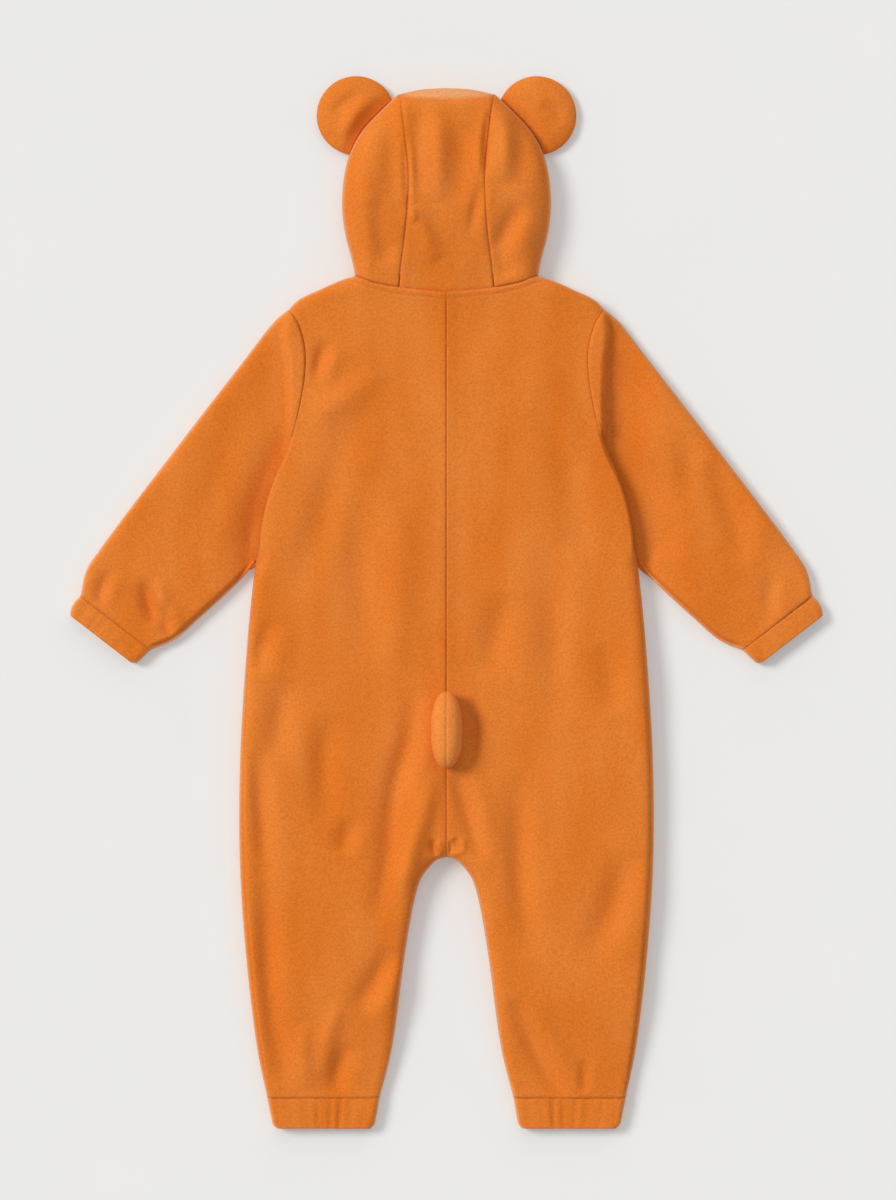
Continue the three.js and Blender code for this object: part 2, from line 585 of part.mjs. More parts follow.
function frontPlan() {
  const middleX = (y) => (y > ZIP_OPENING_END_Y ? ZIP_HALF_GAP : HALF_GAP);
  const rows = bodyRows(middleX, FRONT_NECK_Y);
  return rows.map(({ inner, outer, kind }, r) => {
    const shift = (r === 0 ? -HALF_GAP : 0) + (r === rows.length - 1 ? HALF_GAP : 0);
    const inset = kind === "side" || kind === "leg" ? lookUp(SIDE_SEAM, "y", outer.y, "inset") : 0;
    const columns = inner.y > ZIP_COLUMNS_END_Y ? ZIP_EDGE_COLUMNS : UNDER_EDGE_COLUMNS;
    const fromInner = columns.map((column) => inFrom(inner, outer, column));
    const wrap = inset > SEAM_GAP;
    const start = kind === "armhole" ? HALF_GAP : 0;
    const underEdge = UNDER_OUTER_COLUMNS.map((column) => inFrom(outer, inner, column + start));
    const under = [...fromInner, ...middlePoints(fromInner[3], underEdge[0]), ...underEdge];
    const places = under.map((point) => ({ x: point.x, y: point.y + shift, face: -1 }));
    const rim = inFrom(outer, inner, wrap ? 0 : start + UNDER_RIM_COLUMN);
    const seam = inFrom(outer, inner, wrap ? inset - HALF_GAP : start);
    places.push({ x: rim.x, y: rim.y + shift, face: wrap ? 0 : -1 });
    places.push({ x: seam.x, y: seam.y + shift, face: wrap ? 1 : -1 });
    return places;
  });
}

addPair("back", backPlan(), "body");
addPair("front", frontPlan(), "body");

// ---------- sleeves ----------
// A sleeve wraps from the underarm seam over the back, round the upper edge and under the front.
function sleevePlan() {
  const cuffFrom = SLEEVE_LOWER[0];
  const cuffTo = SLEEVE_UPPER[SLEEVE_UPPER.length - 1];
  const axis = new THREE.Vector2(ARM_TIP.x - ARM_ROOT.x, ARM_TIP.y - ARM_ROOT.y).normalize();
  return SLEEVE_STEPS.map((step, r) => {
    const low = along(sleeveLower, 1 - step);
    const high = along(sleeveUpper, step);
    const span = ARMHOLE_STEPS.map((share) => {
      const root = along(armhole, 1 - share);
      const cuff = between(cuffFrom, cuffTo, share);
      const lowChord = between(ARMHOLE[ARMHOLE.length - 1], cuffFrom, step);
      const highChord = between(ARMHOLE[0], cuffTo, step);
      const ruled = between(root, cuff, step);
      ruled.x += (1 - share) * (low.x - lowChord.x) + share * (high.x - highChord.x);
      ruled.y += (1 - share) * (low.y - lowChord.y) + share * (high.y - highChord.y);
      return ruled;
    });
    const atCuff = r === SLEEVE_STEPS.length - 1;
    const gap = (r === 0 ? HALF_GAP : 0) - (atCuff ? HALF_GAP : 0);
    const shifted = span.map((point) => ({ x: point.x + axis.x * gap, y: point.y + axis.y * gap }));
    const lastShare = shifted.length - 1;
    const over = shifted.slice(0, lastShare).map((point) => ({ ...point, face: 1 }));
    const under = shifted.slice(0, lastShare).reverse().map((point) => ({ ...point, face: -1 }));
    return [...over, { ...shifted[lastShare], face: 0 }, ...under];
  });
}

addPair("sleeve", sleevePlan(), "sleeve");

// ---------- cuffs ----------
// A cuff is a closed ring of gathered cloth between two edge lines.
function addCuffs(name, lowEdge, highEdge, part, forward) {
  const columns = 2 * GATHERS_PER_CUFF;
  for (const [hand, ending] of [[1, "_right"], [-1, "_left"]]) {
    const grid = CUFF_ROWS.map((step, r) => {
      const low = along(lowEdge, step);
      const high = along(highEdge, step);
      const gap = r === 0 ? HALF_GAP : 0;
      low.x += forward.x * gap;
      low.y += forward.y * gap;
      high.x += forward.x * gap;
      high.y += forward.y * gap;
      const points = [];
      const place = (share, face, ripple) => {
        const point = between(low, high, share);
        const made = skin(point.x, point.y, face, part, hand);
        made.outer.z += ripple;
        made.inner.z += ripple;
        points.push(made);
      };
      place(0, 0, 0);
      for (const share of CUFF_RIM_SHARES) place(share, 1, 0);
      for (let k = 1; k < columns; k++) {
        const ripple = k % 2 ? GATHER_HEIGHT : -GATHER_HEIGHT;
        place(lerp(...CUFF_GATHERED, k / columns), 1, ripple);
      }
      for (const share of [...CUFF_RIM_SHARES].reverse()) place(1 - share, 1, 0);
      place(1, 0, 0);
      for (const share of CUFF_UNDER_SHARES) place(share, -1, 0);
      return points;
    });
    for (const point of grid.flat()) {
      point.outer.x *= hand;
      point.inner.x *= hand;
    }
    addPiece(name + ending, wallGeometry(grid, true), fleece);
  }
}

addCuffs("cuff", [...cuffLower].reverse(), cuffUpper, "sleeve", OUT_OF_SLEEVE);
addCuffs("ankle_cuff", [...ankleInner].reverse(), ankleOuter, "body", OUT_OF_LEG);

// ---------- hood ----------
// The line from the bottom of the face opening, round it, to the corner of the centre panel.
function faceOpening() {
  const points = [];
  const startTurn = Math.asin(ZIP_HALF_GAP / FACE.halfWidth);
  const endTurn = Math.PI - Math.asin(FACE_TOP_X / FACE.halfWidth);
  for (let k = 0; k <= 40; k++) {
    const turn = lerp(startTurn, endTurn, k / 40);
    points.push({ x: FACE.halfWidth * Math.sin(turn), y: FACE.y - FACE.halfHeight * Math.cos(turn) });
  }
  return points;
}

function hoodSidePlan() {
  const opening = faceOpening();
  const downFromTip = hoodEdge.slice().reverse();
  return HOOD_STEPS.map((step, r) => {
    const seam = along(hoodSeam, step);
    const outline = along(downFromTip, Math.min(step, HOOD_TIP_SHARE));
    const up = (step - HOOD_STEPS[1]) / (1 - HOOD_STEPS[1]);
    const face = r === 0 ? { x: ZIP_HALF_GAP, y: FRONT_NECK_Y } : along(opening, up);
    const gapY = r === 0 ? HALF_GAP : 0;
    const places = NECK_SIDE_STEPS.slice(0, -1).map((share) => {
      const point = between({ x: seam.x + HALF_GAP, y: seam.y }, outline, share);
      const y = r === 0 ? yOnNeck(point.x) : point.y;
      return { x: point.x, y: y + gapY, face: 1 };
    });
    places.push({ x: outline.x, y: outline.y + gapY, face: 0 });
    for (const share of HOOD_UNDER_STEPS) {
      const point = between(outline, face, share);
      const clear = r === HOOD_STEPS.length - 1 ? SEAM_GAP : 0;
      places.push({ x: point.x + clear, y: point.y + gapY, face: -1 });
    }
    return places;
  });
}

addPair("hood_side", hoodSidePlan(), "hood");

function hoodCentreGrid() {
  const grid = [];
  const addRow = (halfWidth, yAt, face) =>
    grid.push(
      HOOD_CENTRE_SHARES.map((share) => {
        const x = Math.abs(share) * halfWidth;
        const hand = Math.sign(share) || 1;
        const point = skin(x, yAt(Math.abs(share), x), face, "hood", hand);
        point.outer.x *= hand;
        point.inner.x *= hand;
        return point;
      }),
    );
  for (const step of HOOD_STEPS) {
    const seam = along(hoodSeam, step);
    const bow = lerp(NECK[0].y - NECK[1].y, HOOD_TOP_BOW, step);
    const arc = (share) => seam.y + bow * (1 - share * share);
    const yAt = step === 0 ? (share, x) => yOnNeck(x) + HALF_GAP : arc;
    addRow(seam.x - HALF_GAP, yAt, 1);
  }
  const rimWidth = HOOD_TOP[2].x - HOOD_CORNER_GAP;
  const rimY = (x) => heightAt(hoodTop, x);
  addRow(rimWidth, (share, x) => rimY(x), 0);
  const faceY = (x) => FACE.y + FACE.halfHeight * Math.sqrt(1 - (x / FACE.halfWidth) ** 2);
  for (const step of HOOD_TOP_UNDER_STEPS) {
    const halfWidth = lerp(rimWidth, FACE_TOP_X - HALF_GAP, step);
    addRow(halfWidth, (share) => lerp(rimY(share * rimWidth), faceY(share * FACE_TOP_X), step), -1);
  }
  return grid;
}

addPiece("hood_centre", wallGeometry(hoodCentreGrid(), false), fleece);

// ---------- solids cut and joined ----------
function solidOf(geometry) {
  const bare = geometry.clone();
  bare.deleteAttribute("normal");
  bare.deleteAttribute("uv");
  const merged = mergeVertices(bare, 1e-4);
  const triVerts = new Uint32Array(merged.index.array);
  const vertProperties = merged.attributes.position.array;
  return new wasm.Manifold(new wasm.Mesh({ numProp: 3, vertProperties, triVerts }));
}

function geometryOf(solid) {
  const mesh = solid.getMesh();
  const geometry = new THREE.BufferGeometry();
  geometry.setAttribute("position", new THREE.BufferAttribute(new Float32Array(mesh.vertProperties), 3));
  geometry.setIndex(new THREE.BufferAttribute(new Uint32Array(mesh.triVerts), 1));
  geometry.computeVertexNormals();
  return geometry;
}

function boxBetween(x0, x1, y0, y1, z0, z1) {
  const box = new THREE.BoxGeometry(x1 - x0, y1 - y0, z1 - z0);
  return box.translate((x0 + x1) / 2, (y0 + y1) / 2, (z0 + z1) / 2);
}

const mirrorX = (geometry) => {
  const flipped = geometry.clone().scale(-1, 1, 1);
  return outward(flipped);
};

// ---------- ears ----------
// Each ear is two rounds of fleece, seamed round the edge, and ends at the hood's outline.
function earHalf(height, sign) {
  const profile = [new THREE.Vector2(0, 0), new THREE.Vector2(EAR.radius, 0)];
  for (let k = 0; k <= EAR_RINGS; k++) {
    const turn = (k / EAR_RINGS) * (Math.PI / 2);
    const radius = k === EAR_RINGS ? 0 : EAR.radius * Math.cos(turn);
    profile.push(new THREE.Vector2(radius, EAR.rim + (height - EAR.rim) * Math.sin(turn)));
  }
  const lens = new THREE.LatheGeometry(profile, EAR_SEGMENTS);
  lens.rotateX(sign * (Math.PI / 2));
  lens.translate(EAR.x, EAR.y, EAR.seamZ + sign * HALF_GAP);
  return solidOf(lens);
}

// The room that the right half of the hood takes up, from the neck to its top, which the ears keep out of.
function hoodPrism() {
  const shape = new THREE.Shape();
  shape.moveTo(-FAR, FRONT_NECK_Y);
  shape.lineTo(-FAR, FRONT_NECK_Y + 2 * FAR);
  shape.lineTo(0, FRONT_NECK_Y + 2 * FAR);
  for (const point of joined(hoodTop, hoodEdge)) {
    const near = nearest(freeEdges, point.x, point.y);
    shape.lineTo(point.x + near.outX * SEAM_GAP, point.y + near.outY * SEAM_GAP);
  }
  shape.lineTo(HOOD_EDGE[HOOD_EDGE.length - 1].x, FRONT_NECK_Y);
  const prism = new THREE.ExtrudeGeometry(shape, { depth: 2 * FAR, bevelEnabled: false });
  return solidOf(prism.translate(0, 0, -FAR));
}

const hoodSpace = hoodPrism();
for (const [ending, height, sign] of [["_back", EAR.backHeight, 1], ["_front", EAR.frontHeight, -1]]) {
  const right = geometryOf(earHalf(height, sign).subtract(hoodSpace));
  addPiece("ear_right" + ending, right, fleece);
  addPiece("ear_left" + ending, mirrorX(right), fleece);
}

// ---------- tail ----------
// A stuffed oval in two halves, standing on the centre-back seam.
function tailHalf() {
  const baseZ = lookUp(BODY_CROWN, "y", TAIL.y, "height") + SEAM_GAP;
  const oval = new THREE.SphereGeometry(1, 16, 12).scale(TAIL.halfWidth, TAIL.halfLength, TAIL.halfHeight);
  oval.translate(0, TAIL.y, baseZ + TAIL.centreRise);
  const keep = boxBetween(HALF_GAP, FAR, TAIL.y - FAR, TAIL.y + FAR, baseZ, FAR);
  return geometryOf(solidOf(oval).intersect(solidOf(keep)));
}

const tailRight = tailHalf();
addPiece("tail_right", tailRight, fleece);
addPiece("tail_left", mirrorX(tailRight), fleece);

// ---------- zip ----------
function zipTapeGeometry() {
  const low = ZIP_BOTTOM_Y - TAPE.pastBottom;
  return boxBetween(HALF_GAP, TAPE.width, low, ZIP.topY + TAPE.pastTop, TAPE.z, TAPE.z + TAPE.thick);
}

addPiece("zip_tape_right", zipTapeGeometry(), zipTape);
addPiece("zip_tape_left", mirrorX(zipTapeGeometry()), zipTape);

// The coil is a low ridge with bevelled sides.
function coilGeometry() {
  const half = ZIP.coilHalfWidth;
  const low = ZIP.coilZ;
  const high = low + ZIP.coilThick;
  const section = new THREE.Shape();
  section.moveTo(-half, high);
  section.lineTo(-half, high - ZIP.coilThick / 2);
  section.lineTo(-half + ZIP.coilBevel, low);
  section.lineTo(half - ZIP.coilBevel, low);
  section.lineTo(half, high - ZIP.coilThick / 2);
  section.lineTo(half, high);
  const run = new THREE.ExtrudeGeometry(section, { depth: ZIP.topY - ZIP_BOTTOM_Y, bevelEnabled: false });
  return outward(indexed(run.rotateX(Math.PI / 2).translate(0, ZIP.topY, 0)));
}

function indexed(geometry) {
  geometry.deleteAttribute("normal");
  geometry.deleteAttribute("uv");
  return mergeVertices(geometry, 1e-4);
}

addPiece("zip_coil", coilGeometry(), zipTape);

function sliderGeometry() {
  const y0 = SLIDER.y - SLIDER.length / 2;
  const y1 = SLIDER.y + SLIDER.length / 2;
  const plateTop = SLIDER.plateZ + SLIDER.plateThick;
  const half = SLIDER.halfWidth;
  let slider = solidOf(boxBetween(-half, half, y0, y1, SLIDER.plateZ, plateTop));
  const f = FLANGE;
  for (const x of [-half, half - f.thick]) {
    const flange = boxBetween(x, x + f.thick, y0 + f.inset, y1 - f.inset, SLIDER.plateZ, f.top);
    slider = slider.add(solidOf(flange));
  }
  const wide = BAIL.halfWidth;
  const far = BAIL.reach;
  const midPlate = SLIDER.plateZ + SLIDER.plateThick / 2;
  for (const y of [SLIDER.y - far, SLIDER.y + far - BAIL.thick]) {
    slider = slider.add(solidOf(boxBetween(-wide, wide, y, y + BAIL.thick, BAIL.lowZ, midPlate)));
  }
  const reach = far - BRIDGE_OVERLAP.y;
  const low = BAIL.lowZ - BRIDGE_OVERLAP.z;
  const high = BAIL.lowZ + BAIL.bridgeThick;
  const bridge = boxBetween(-wide, wide, SLIDER.y - reach, SLIDER.y + reach, low, high);
  return geometryOf(slider.add(solidOf(bridge)));
}

addPiece("zip_slider", sliderGeometry(), zipMetal);

// The pull tab hangs on the bail by a bar across its window and lies along the closed zip.
function pullGeometry() {
  const half = PULL.thick / 2;
  const wide = PULL.halfWidth;
  const tab = new THREE.Shape();
  tab.moveTo(-wide, half);
  tab.lineTo(-wide, -PULL_WINDOW.end - PULL_WINDOW.rail);
  tab.lineTo(-PULL.tipHalf, -PULL.length + PULL.tipHalf);
  tab.absarc(0, -PULL.length + PULL.tipHalf, PULL.tipHalf, Math.PI, 2 * Math.PI, false);
  tab.lineTo(wide, -PULL_WINDOW.end - PULL_WINDOW.rail);
  tab.lineTo(wide, half);
  tab.closePath();
  const window = new THREE.Path();
  window.moveTo(-PULL_WINDOW.half, -half);
  window.lineTo(PULL_WINDOW.half, -half);
  window.lineTo(PULL_WINDOW.half, -PULL_WINDOW.end);
  window.lineTo(-PULL_WINDOW.half, -PULL_WINDOW.end);
  window.closePath();
  tab.holes.push(window);
  const flat = new THREE.ExtrudeGeometry(tab, { depth: PULL.thick, bevelEnabled: false, curveSegments: 6 });
  return outward(indexed(flat.translate(0, SLIDER.y, PULL.axisZ - half)));
}

addPiece("zip_pull", pullGeometry(), zipMetal);

export default onesie;
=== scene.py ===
# A child's hamster costume onesie in brushed fleece, laid out flat with its back up, for Blender 4.5.
# Sizes and places are in millimetres, and become metres where a mesh or a lamp takes them.
# +Y is towards the hood and +X is the wearer's right. The right half is worked out, and hand -1 mirrors it.
import math

import bmesh
import bpy
import numpy as np
from mathutils import Matrix, Vector, noise
from mathutils.bvhtree import BVHTree


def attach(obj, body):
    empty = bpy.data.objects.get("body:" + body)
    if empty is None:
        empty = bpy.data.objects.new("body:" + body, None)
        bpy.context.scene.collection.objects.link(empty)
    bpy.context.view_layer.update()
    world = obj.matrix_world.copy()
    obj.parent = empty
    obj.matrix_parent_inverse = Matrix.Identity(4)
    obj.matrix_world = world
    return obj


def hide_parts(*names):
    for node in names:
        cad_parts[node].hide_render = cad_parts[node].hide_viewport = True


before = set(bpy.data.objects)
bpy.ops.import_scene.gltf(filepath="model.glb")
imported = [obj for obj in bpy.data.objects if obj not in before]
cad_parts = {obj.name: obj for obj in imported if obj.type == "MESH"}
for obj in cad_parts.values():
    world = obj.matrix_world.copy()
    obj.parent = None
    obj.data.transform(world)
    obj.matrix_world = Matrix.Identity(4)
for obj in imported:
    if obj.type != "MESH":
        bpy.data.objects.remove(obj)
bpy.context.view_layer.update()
MM = 0.001

# ---------- camera, floor and light ----------
# The onesie lies on a plain pale studio floor. One large soft lamp stands up and to the left,
# and a pale sky all round keeps the shadows light.
VIEW_HEIGHT = 1056  # of the floor, from the top of the view to its bottom
CAMERA_HEIGHT = 5000
SCALE_HEIGHT = 12  # the view's scale is exact at this height above the floor
SENSOR = 36
VIEW_CENTRE = (1.3, 1.8)

camera = bpy.data.objects.new("camera", bpy.data.cameras.new("camera"))
bpy.context.scene.collection.objects.link(camera)
camera.location = Vector((*VIEW_CENTRE, CAMERA_HEIGHT)) * MM
camera.data.sensor_width = SENSOR
camera.data.lens = SENSOR * (CAMERA_HEIGHT - SCALE_HEIGHT) / VIEW_HEIGHT
camera.data.clip_end = 20
bpy.context.scene.camera = camera
bpy.context.scene.view_settings.view_transform = "Standard"


def linear(colour):
    """An sRGB hex colour as the linear colour that a socket takes."""
    parts = [int(colour[k : k + 2], 16) / 255 for k in (1, 3, 5)]
    return [p / 12.92 if p <= 0.04045 else ((p + 0.055) / 1.055) ** 2.4 for p in parts] + [1]


def add_node(tree, kind, links=None, **settings):
    """Adds a node. A setting names a property or an input socket, and links joins sockets to its inputs."""
    node = tree.nodes.new(kind)
    for name, value in settings.items():
        if hasattr(node, name):
            setattr(node, name, value)
        else:
            node.inputs[name.replace("_", " ")].default_value = value
    for name, socket in (links or {}).items():
        tree.links.new(socket, node.inputs[name])
    return node


def new_material(name):
    """An empty node material with its output node."""
    material = bpy.data.materials.new(name)
    material.use_nodes = True
    material.node_tree.nodes.clear()
    return material, material.node_tree, add_node(material.node_tree, "ShaderNodeOutputMaterial")


# Matt painted board: no gloss, and only a trace of unevenness.
BOARD_GRAIN = 90
material, tree, output = new_material("matt white board")
place = add_node(tree, "ShaderNodeTexCoord")
grain = add_node(tree, "ShaderNodeTexNoise", {"Vector": place.outputs["Object"]}, Scale=1000 / BOARD_GRAIN,
                 Detail=3.0)
tone = add_node(tree, "ShaderNodeValToRGB", {"Fac": grain.outputs["Fac"]})
tone.color_ramp.elements[0].color = linear("#cbcbc8")
tone.color_ramp.elements[1].color = linear("#cecdca")
board = add_node(tree, "ShaderNodeBsdfPrincipled", {"Base Color": tone.outputs["Color"]}, Roughness=0.9,
                 Emission_Color=linear("#f4f5f8"), Emission_Strength=0.22)
tree.links.new(board.outputs["BSDF"], output.inputs["Surface"])


def add_object(name, shape, material):
    """An object made from a bmesh, which is freed, with its material."""
    thing = bpy.data.objects.new(name, bpy.data.meshes.new(name))
    shape.to_mesh(thing.data)
    shape.free()
    thing.data.materials.append(material)
    bpy.context.scene.collection.objects.link(thing)
    return thing


FLOOR_SIDE = 6000
FLOOR_DROP = 0.2  # keeps the floor's face clear of the cloth on it
floor_mesh = bmesh.new()
bmesh.ops.create_grid(floor_mesh, x_segments=2, y_segments=2, size=FLOOR_SIDE / 2 * MM)
bmesh.ops.translate(floor_mesh, verts=floor_mesh.verts, vec=(0, 0, -FLOOR_DROP * MM))
add_object("floor", floor_mesh, material)


def add_lamp(name, towards, strength, softness, colour):
    """A far lamp that lights the floor evenly: the way that it shines, and its softness in degrees."""
    lamp = bpy.data.objects.new(name, bpy.data.lights.new(name, "SUN"))
    lamp.data.energy = strength
    lamp.data.angle = math.radians(softness)
    lamp.data.color = linear(colour)[:3]
    lamp.rotation_euler = Vector(towards).to_track_quat("-Z", "Y").to_euler()
    bpy.context.scene.collection.objects.link(lamp)


add_lamp("key lamp", (0.97, -0.43, -1.0), 2.1, 22, "#fffdfb")
add_lamp("top lamp", (-0.1, -0.9, -0.8), 0.45, 60, "#fffdfb")

world = bpy.data.worlds.new("studio")
bpy.context.scene.world = world
world.use_nodes = True
world.node_tree.nodes["Background"].inputs["Color"].default_value = linear("#f4f5f8")
world.node_tree.nodes["Background"].inputs["Strength"].default_value = 0.52

# ---------- front ----------
# Two front panels of brushed polyester fleece, underneath, with the zip between them. They come round
# the folded sides to seams that lie on the back, so a strip of each shows beside the legs.
HANDS = ((1, "right"), (-1, "left"))
CLOTH = 2.4
CROTCH = -224.4
ANKLE_SEAM = -436.5
ARMPIT = 35
FRONT_NECK = 245
EDGE_ROUNDNESS = 2.8  # 2 would be a round fold, and more is squarer and crisper
HOOD_ROUNDNESS = 2.1
UNDER_ROLL = 0.6  # the lower half of a folded edge is this share as wide as its upper half
# Folded edges and seams: x, y, height of the outermost point, width of the upper half of the fold.
HOOD_TOP = [(0, 452.3, 11, 22), (22, 451, 11, 22), (43, 446.6, 10, 24)]
HOOD_SIDE = [(43, 446.6, 10, 24), (60.5, 430, 9, 27), (74.9, 413.9, 9, 30), (83.9, 397.8, 9, 32),
             (89.3, 380.2, 9.5, 32), (92, 353.8, 10, 32), (91.1, 336.2, 10, 30), (88, 318.6, 9.5, 26),
             (83.2, 301, 9, 20), (80.5, 286.9, 9, 16)]
SHOULDER = [(80.5, 286.9, 9, 16), (92.4, 283.4, 9, 15), (112.6, 274.6, 9, 14), (130.7, 265.8, 8, 14),
            (138.9, 257.6, 8, 14)]
SLEEVE_UPPER = [(138.9, 257.6, 8, 14), (150.5, 248.2, 7, 14), (178.2, 213, 7, 14), (239.4, 133.8, 7, 13),
                (305.8, 45.8, 6.5, 12), (317.2, 28.2, 6, 10), (322.5, 5.3, 6, 8)]
CUFF_UPPER = [(322.5, 5.3, 6, 8), (327.4, 0.4, 6, 7), (330.9, -6.5, 6, 7), (331.5, -11.7, 6, 7)]
CUFF_LOWER = [(277.4, -53.5, 6, 7), (273.3, -53.7, 6, 7), (268.9, -50.1, 6, 7), (260.9, -42.2, 6, 8)]
SLEEVE_LOWER = [(260.9, -42.2, 6, 8), (240.2, -33.4, 6.5, 12), (219.6, -15.8, 7, 13), (181.7, 19.4, 7, 14),
                (168, ARMPIT, 8, 14)]
SIDE = [(168, ARMPIT, 8, 14), (172, 1.8, 9, 14), (176, -42.2, 9, 14), (181.7, -130.2, 9, 14),
        (182.4, CROTCH, 9, 14), (177.3, -306.2, 9, 14), (166.8, -394.2, 8, 12), (158, ANKLE_SEAM, 6.5, 8)]
ANKLE_OUTER = [(158, ANKLE_SEAM, 6.5, 8), (154.6, -453, 6, 7), (152.8, -460.3, 6, 7), (149.5, -463.4, 6, 7)]
ANKLE_INNER = [(66.5, -463.4, 6, 7), (63.6, -460.3, 6, 7), (61.8, -453, 6, 7), (59, ANKLE_SEAM, 6.5, 8)]
INSEAM = [(59, ANKLE_SEAM, 6.5, 8), (48.4, -394.2, 8, 12), (36.1, -306.2, 9, 14), (28.2, -262.2, 9, 14),
          (22.9, -244.6, 9, 14), (17.2, -235.8, 9, 14), (8.4, -227, 9, 14), (0, CROTCH, 9, 14)]
# The armhole: x, y, how far the body's edge sinks there, how much lower the sleeve goes in under it.
ARMHOLE = [(138.9, 257.6, 0, 0), (130.2, 243.9, 0, 0), (124.6, 222.2, 0, 0), (124.6, 200.5, 0, 0),
           (127.8, 178.7, 0, 0), (132.6, 157, 0, 0), (143.4, 128, 2, 2), (153.1, 108.8, 4, 2.7),
           (160.3, 87.1, 6, 3.5), (165.2, 62.9, 8, 5), (166.8, 41.2, 9, 6), (168, ARMPIT, 9, 6)]
# Heights above the floor: y and height on the body, distance along the arm and height on a sleeve.
BODY_CROWN = [(-463, 13), (ANKLE_SEAM, 14), (-330, 22), (CROTCH, 24), (-150, 25), (0, 25), (150, 24),
              (240, 23), (375, 35), (452, 30)]
ARM_CROWN = [(-60, 15.5), (0, 15.5), (60, 15), (150, 14.5), (222, 12.5), (260, 12)]
ARM_ROOT = np.array((140, 150))
ARM_TIP = np.array((291.7, -18.5))
# The back lies this much lower by the arms, from the first x and y to the second, but not at the neck.
LOW_BY_ARM = 2.5
LOW_X = (70, 130)
LOW_Y = (60, 150)
LOW_ENDS_Y = (262, 285)
# How far the side seam lies in from the folded edge: y and inset.
SIDE_SEAM = [(ANKLE_SEAM, 1.5), (-400, 4), (-300, 5), (-110, 4), (-50, 1.5), (ARMPIT, 0)]


def eased(at, start, end):
    """From 0 at the start to 1 at the end, slow at both."""
    share = np.clip((at - start) / (end - start), 0, 1)
    return share * share * (3 - 2 * share)


def hump(off, width):
    """A smooth hump: 1 where off is 0, down to next to nothing two widths away."""
    return np.exp(-((off / width) ** 2))


def look_up(table, at):
    """The second column of a table, between its rows in smooth steps."""
    keys, values = np.array(table, float).T
    k = np.clip(np.searchsorted(keys, at) - 1, 0, len(keys) - 2)
    return values[k] + (values[k + 1] - values[k]) * eased(at, keys[k], keys[k + 1])


def trace(rows, per_span=8):
    """Close points through a table's rows: x and y on a centripetal Catmull-Rom curve, the rest in step."""
    rows = np.array(rows, float)
    rows = np.vstack([2 * rows[0] - rows[1], rows, 2 * rows[-1] - rows[-2]])
    points = []
    for before, start, end, after in zip(rows, rows[1:], rows[2:], rows[3:]):
        a, b, c = (np.hypot(*(q - p)[:2]) ** 0.5 for p, q in ((before, start), (start, end), (end, after)))
        leave = b * ((start - before) / a - (end - before) / (a + b) + (end - start) / b)
        arrive = b * ((end - start) / b - (after - start) / (b + c) + (after - end) / c)
        for s in np.arange(per_span) / per_span:
            curve = start + leave * s + (3 * (end - start) - 2 * leave - arrive) * s**2
            curve += (2 * (start - end) + leave + arrive) * s**3
            points.append([*curve[:2], *(start + s * (end - start))[2:]])
    return np.array(points + [rows[-2]])


def along(line, shares):
    """The points at shares of a line's length."""
    length = np.append(0, np.cumsum(np.hypot(*np.diff(line[:, :2], axis=0).T)))
    return np.stack([np.interp(np.asarray(shares) * length[-1], length, column) for column in line.T], -1)


def joined(*lines):
    return np.vstack([lines[0], *[line[1:] for line in lines[1:]]])


def nearest(lines, x, y):
    """Each place's distance to the nearest of the lines, and the lines' columns at that nearest point."""
    starts = np.vstack([line[:-1] for line in lines])
    ends = np.vstack([line[1:] for line in lines])
    run = (ends - starts)[:, :2]
    away = np.stack([x, y], -1)[:, None] - starts[None, :, :2]
    share = np.clip((away * run).sum(-1) / np.maximum((run**2).sum(-1), 1e-12), 0, 1)
    distance = np.linalg.norm(away - share[..., None] * run, axis=-1)
    best = distance.argmin(1)
    each = np.arange(len(x))
    columns = starts[best] + share[each, best, None] * (ends[best] - starts[best])
    return distance[each, best], columns


armhole = trace(ARMHOLE)
side = trace(SIDE)
inseam = trace(INSEAM)
shoulder = trace(SHOULDER)
hood_top = trace(HOOD_TOP)
upper_edge = joined(hood_top, trace(HOOD_SIDE), shoulder, trace(SLEEVE_UPPER), trace(CUFF_UPPER))
upper_edge = np.vstack([hood_top[1] * (-1, 1, 1, 1), upper_edge])
underarm_edge = joined(trace(CUFF_LOWER), trace(SLEEVE_LOWER))
side_edge = joined(side, trace(ANKLE_OUTER))
inseam_edge = np.vstack([joined(trace(ANKLE_INNER), inseam), inseam[-2] * (-1, 1, 1, 1)])
folded_edges = [upper_edge, underarm_edge, side_edge, inseam_edge]

FOLD_STRENGTH = 2.5  # every depth in a table of creases is made this much greater
FADE_POWER = 0.7
LIP_AWAY = 1.7  # from the crease to the middle of its lip, in widths of the crease
LIP_WIDTH = 1.1


def relief(x, y, creases):
    """The height that creases add. Each has a depth (a ridge is negative), a width, a lip that swells on
    its left, or on its right if negative, and the places that it runs through. It fades to both ends."""
    height = np.zeros(len(x))
    for depth, width, lip, *places in creases:
        line = trace(places)
        run = np.gradient(line, axis=0)
        share = np.append(0, np.cumsum(np.hypot(*np.diff(line, axis=0).T)))
        left = np.stack([-run[:, 1], run[:, 0]], -1) / np.hypot(*run.T)[:, None]
        distance, at = nearest([np.column_stack([line, share / share[-1], left])], x, y)
        beside = (x - at[:, 0]) * at[:, 3] + (y - at[:, 1]) * at[:, 4]
        fade = np.sin(np.pi * at[:, 2].clip(0, 1)) ** FADE_POWER
        swell = hump(beside - LIP_AWAY * width * np.sign(lip), LIP_WIDTH * width)
        height += FOLD_STRENGTH * fade * depth * (abs(lip) * swell - hump(distance, width))
    return height


def ripple(x, y, size, height, seed):
    """Soft irregular unevenness of about that size."""
    spots = zip(x / size, y / size)
    return height * np.array([noise.noise(Vector((a, b, seed))) for a, b in spots])


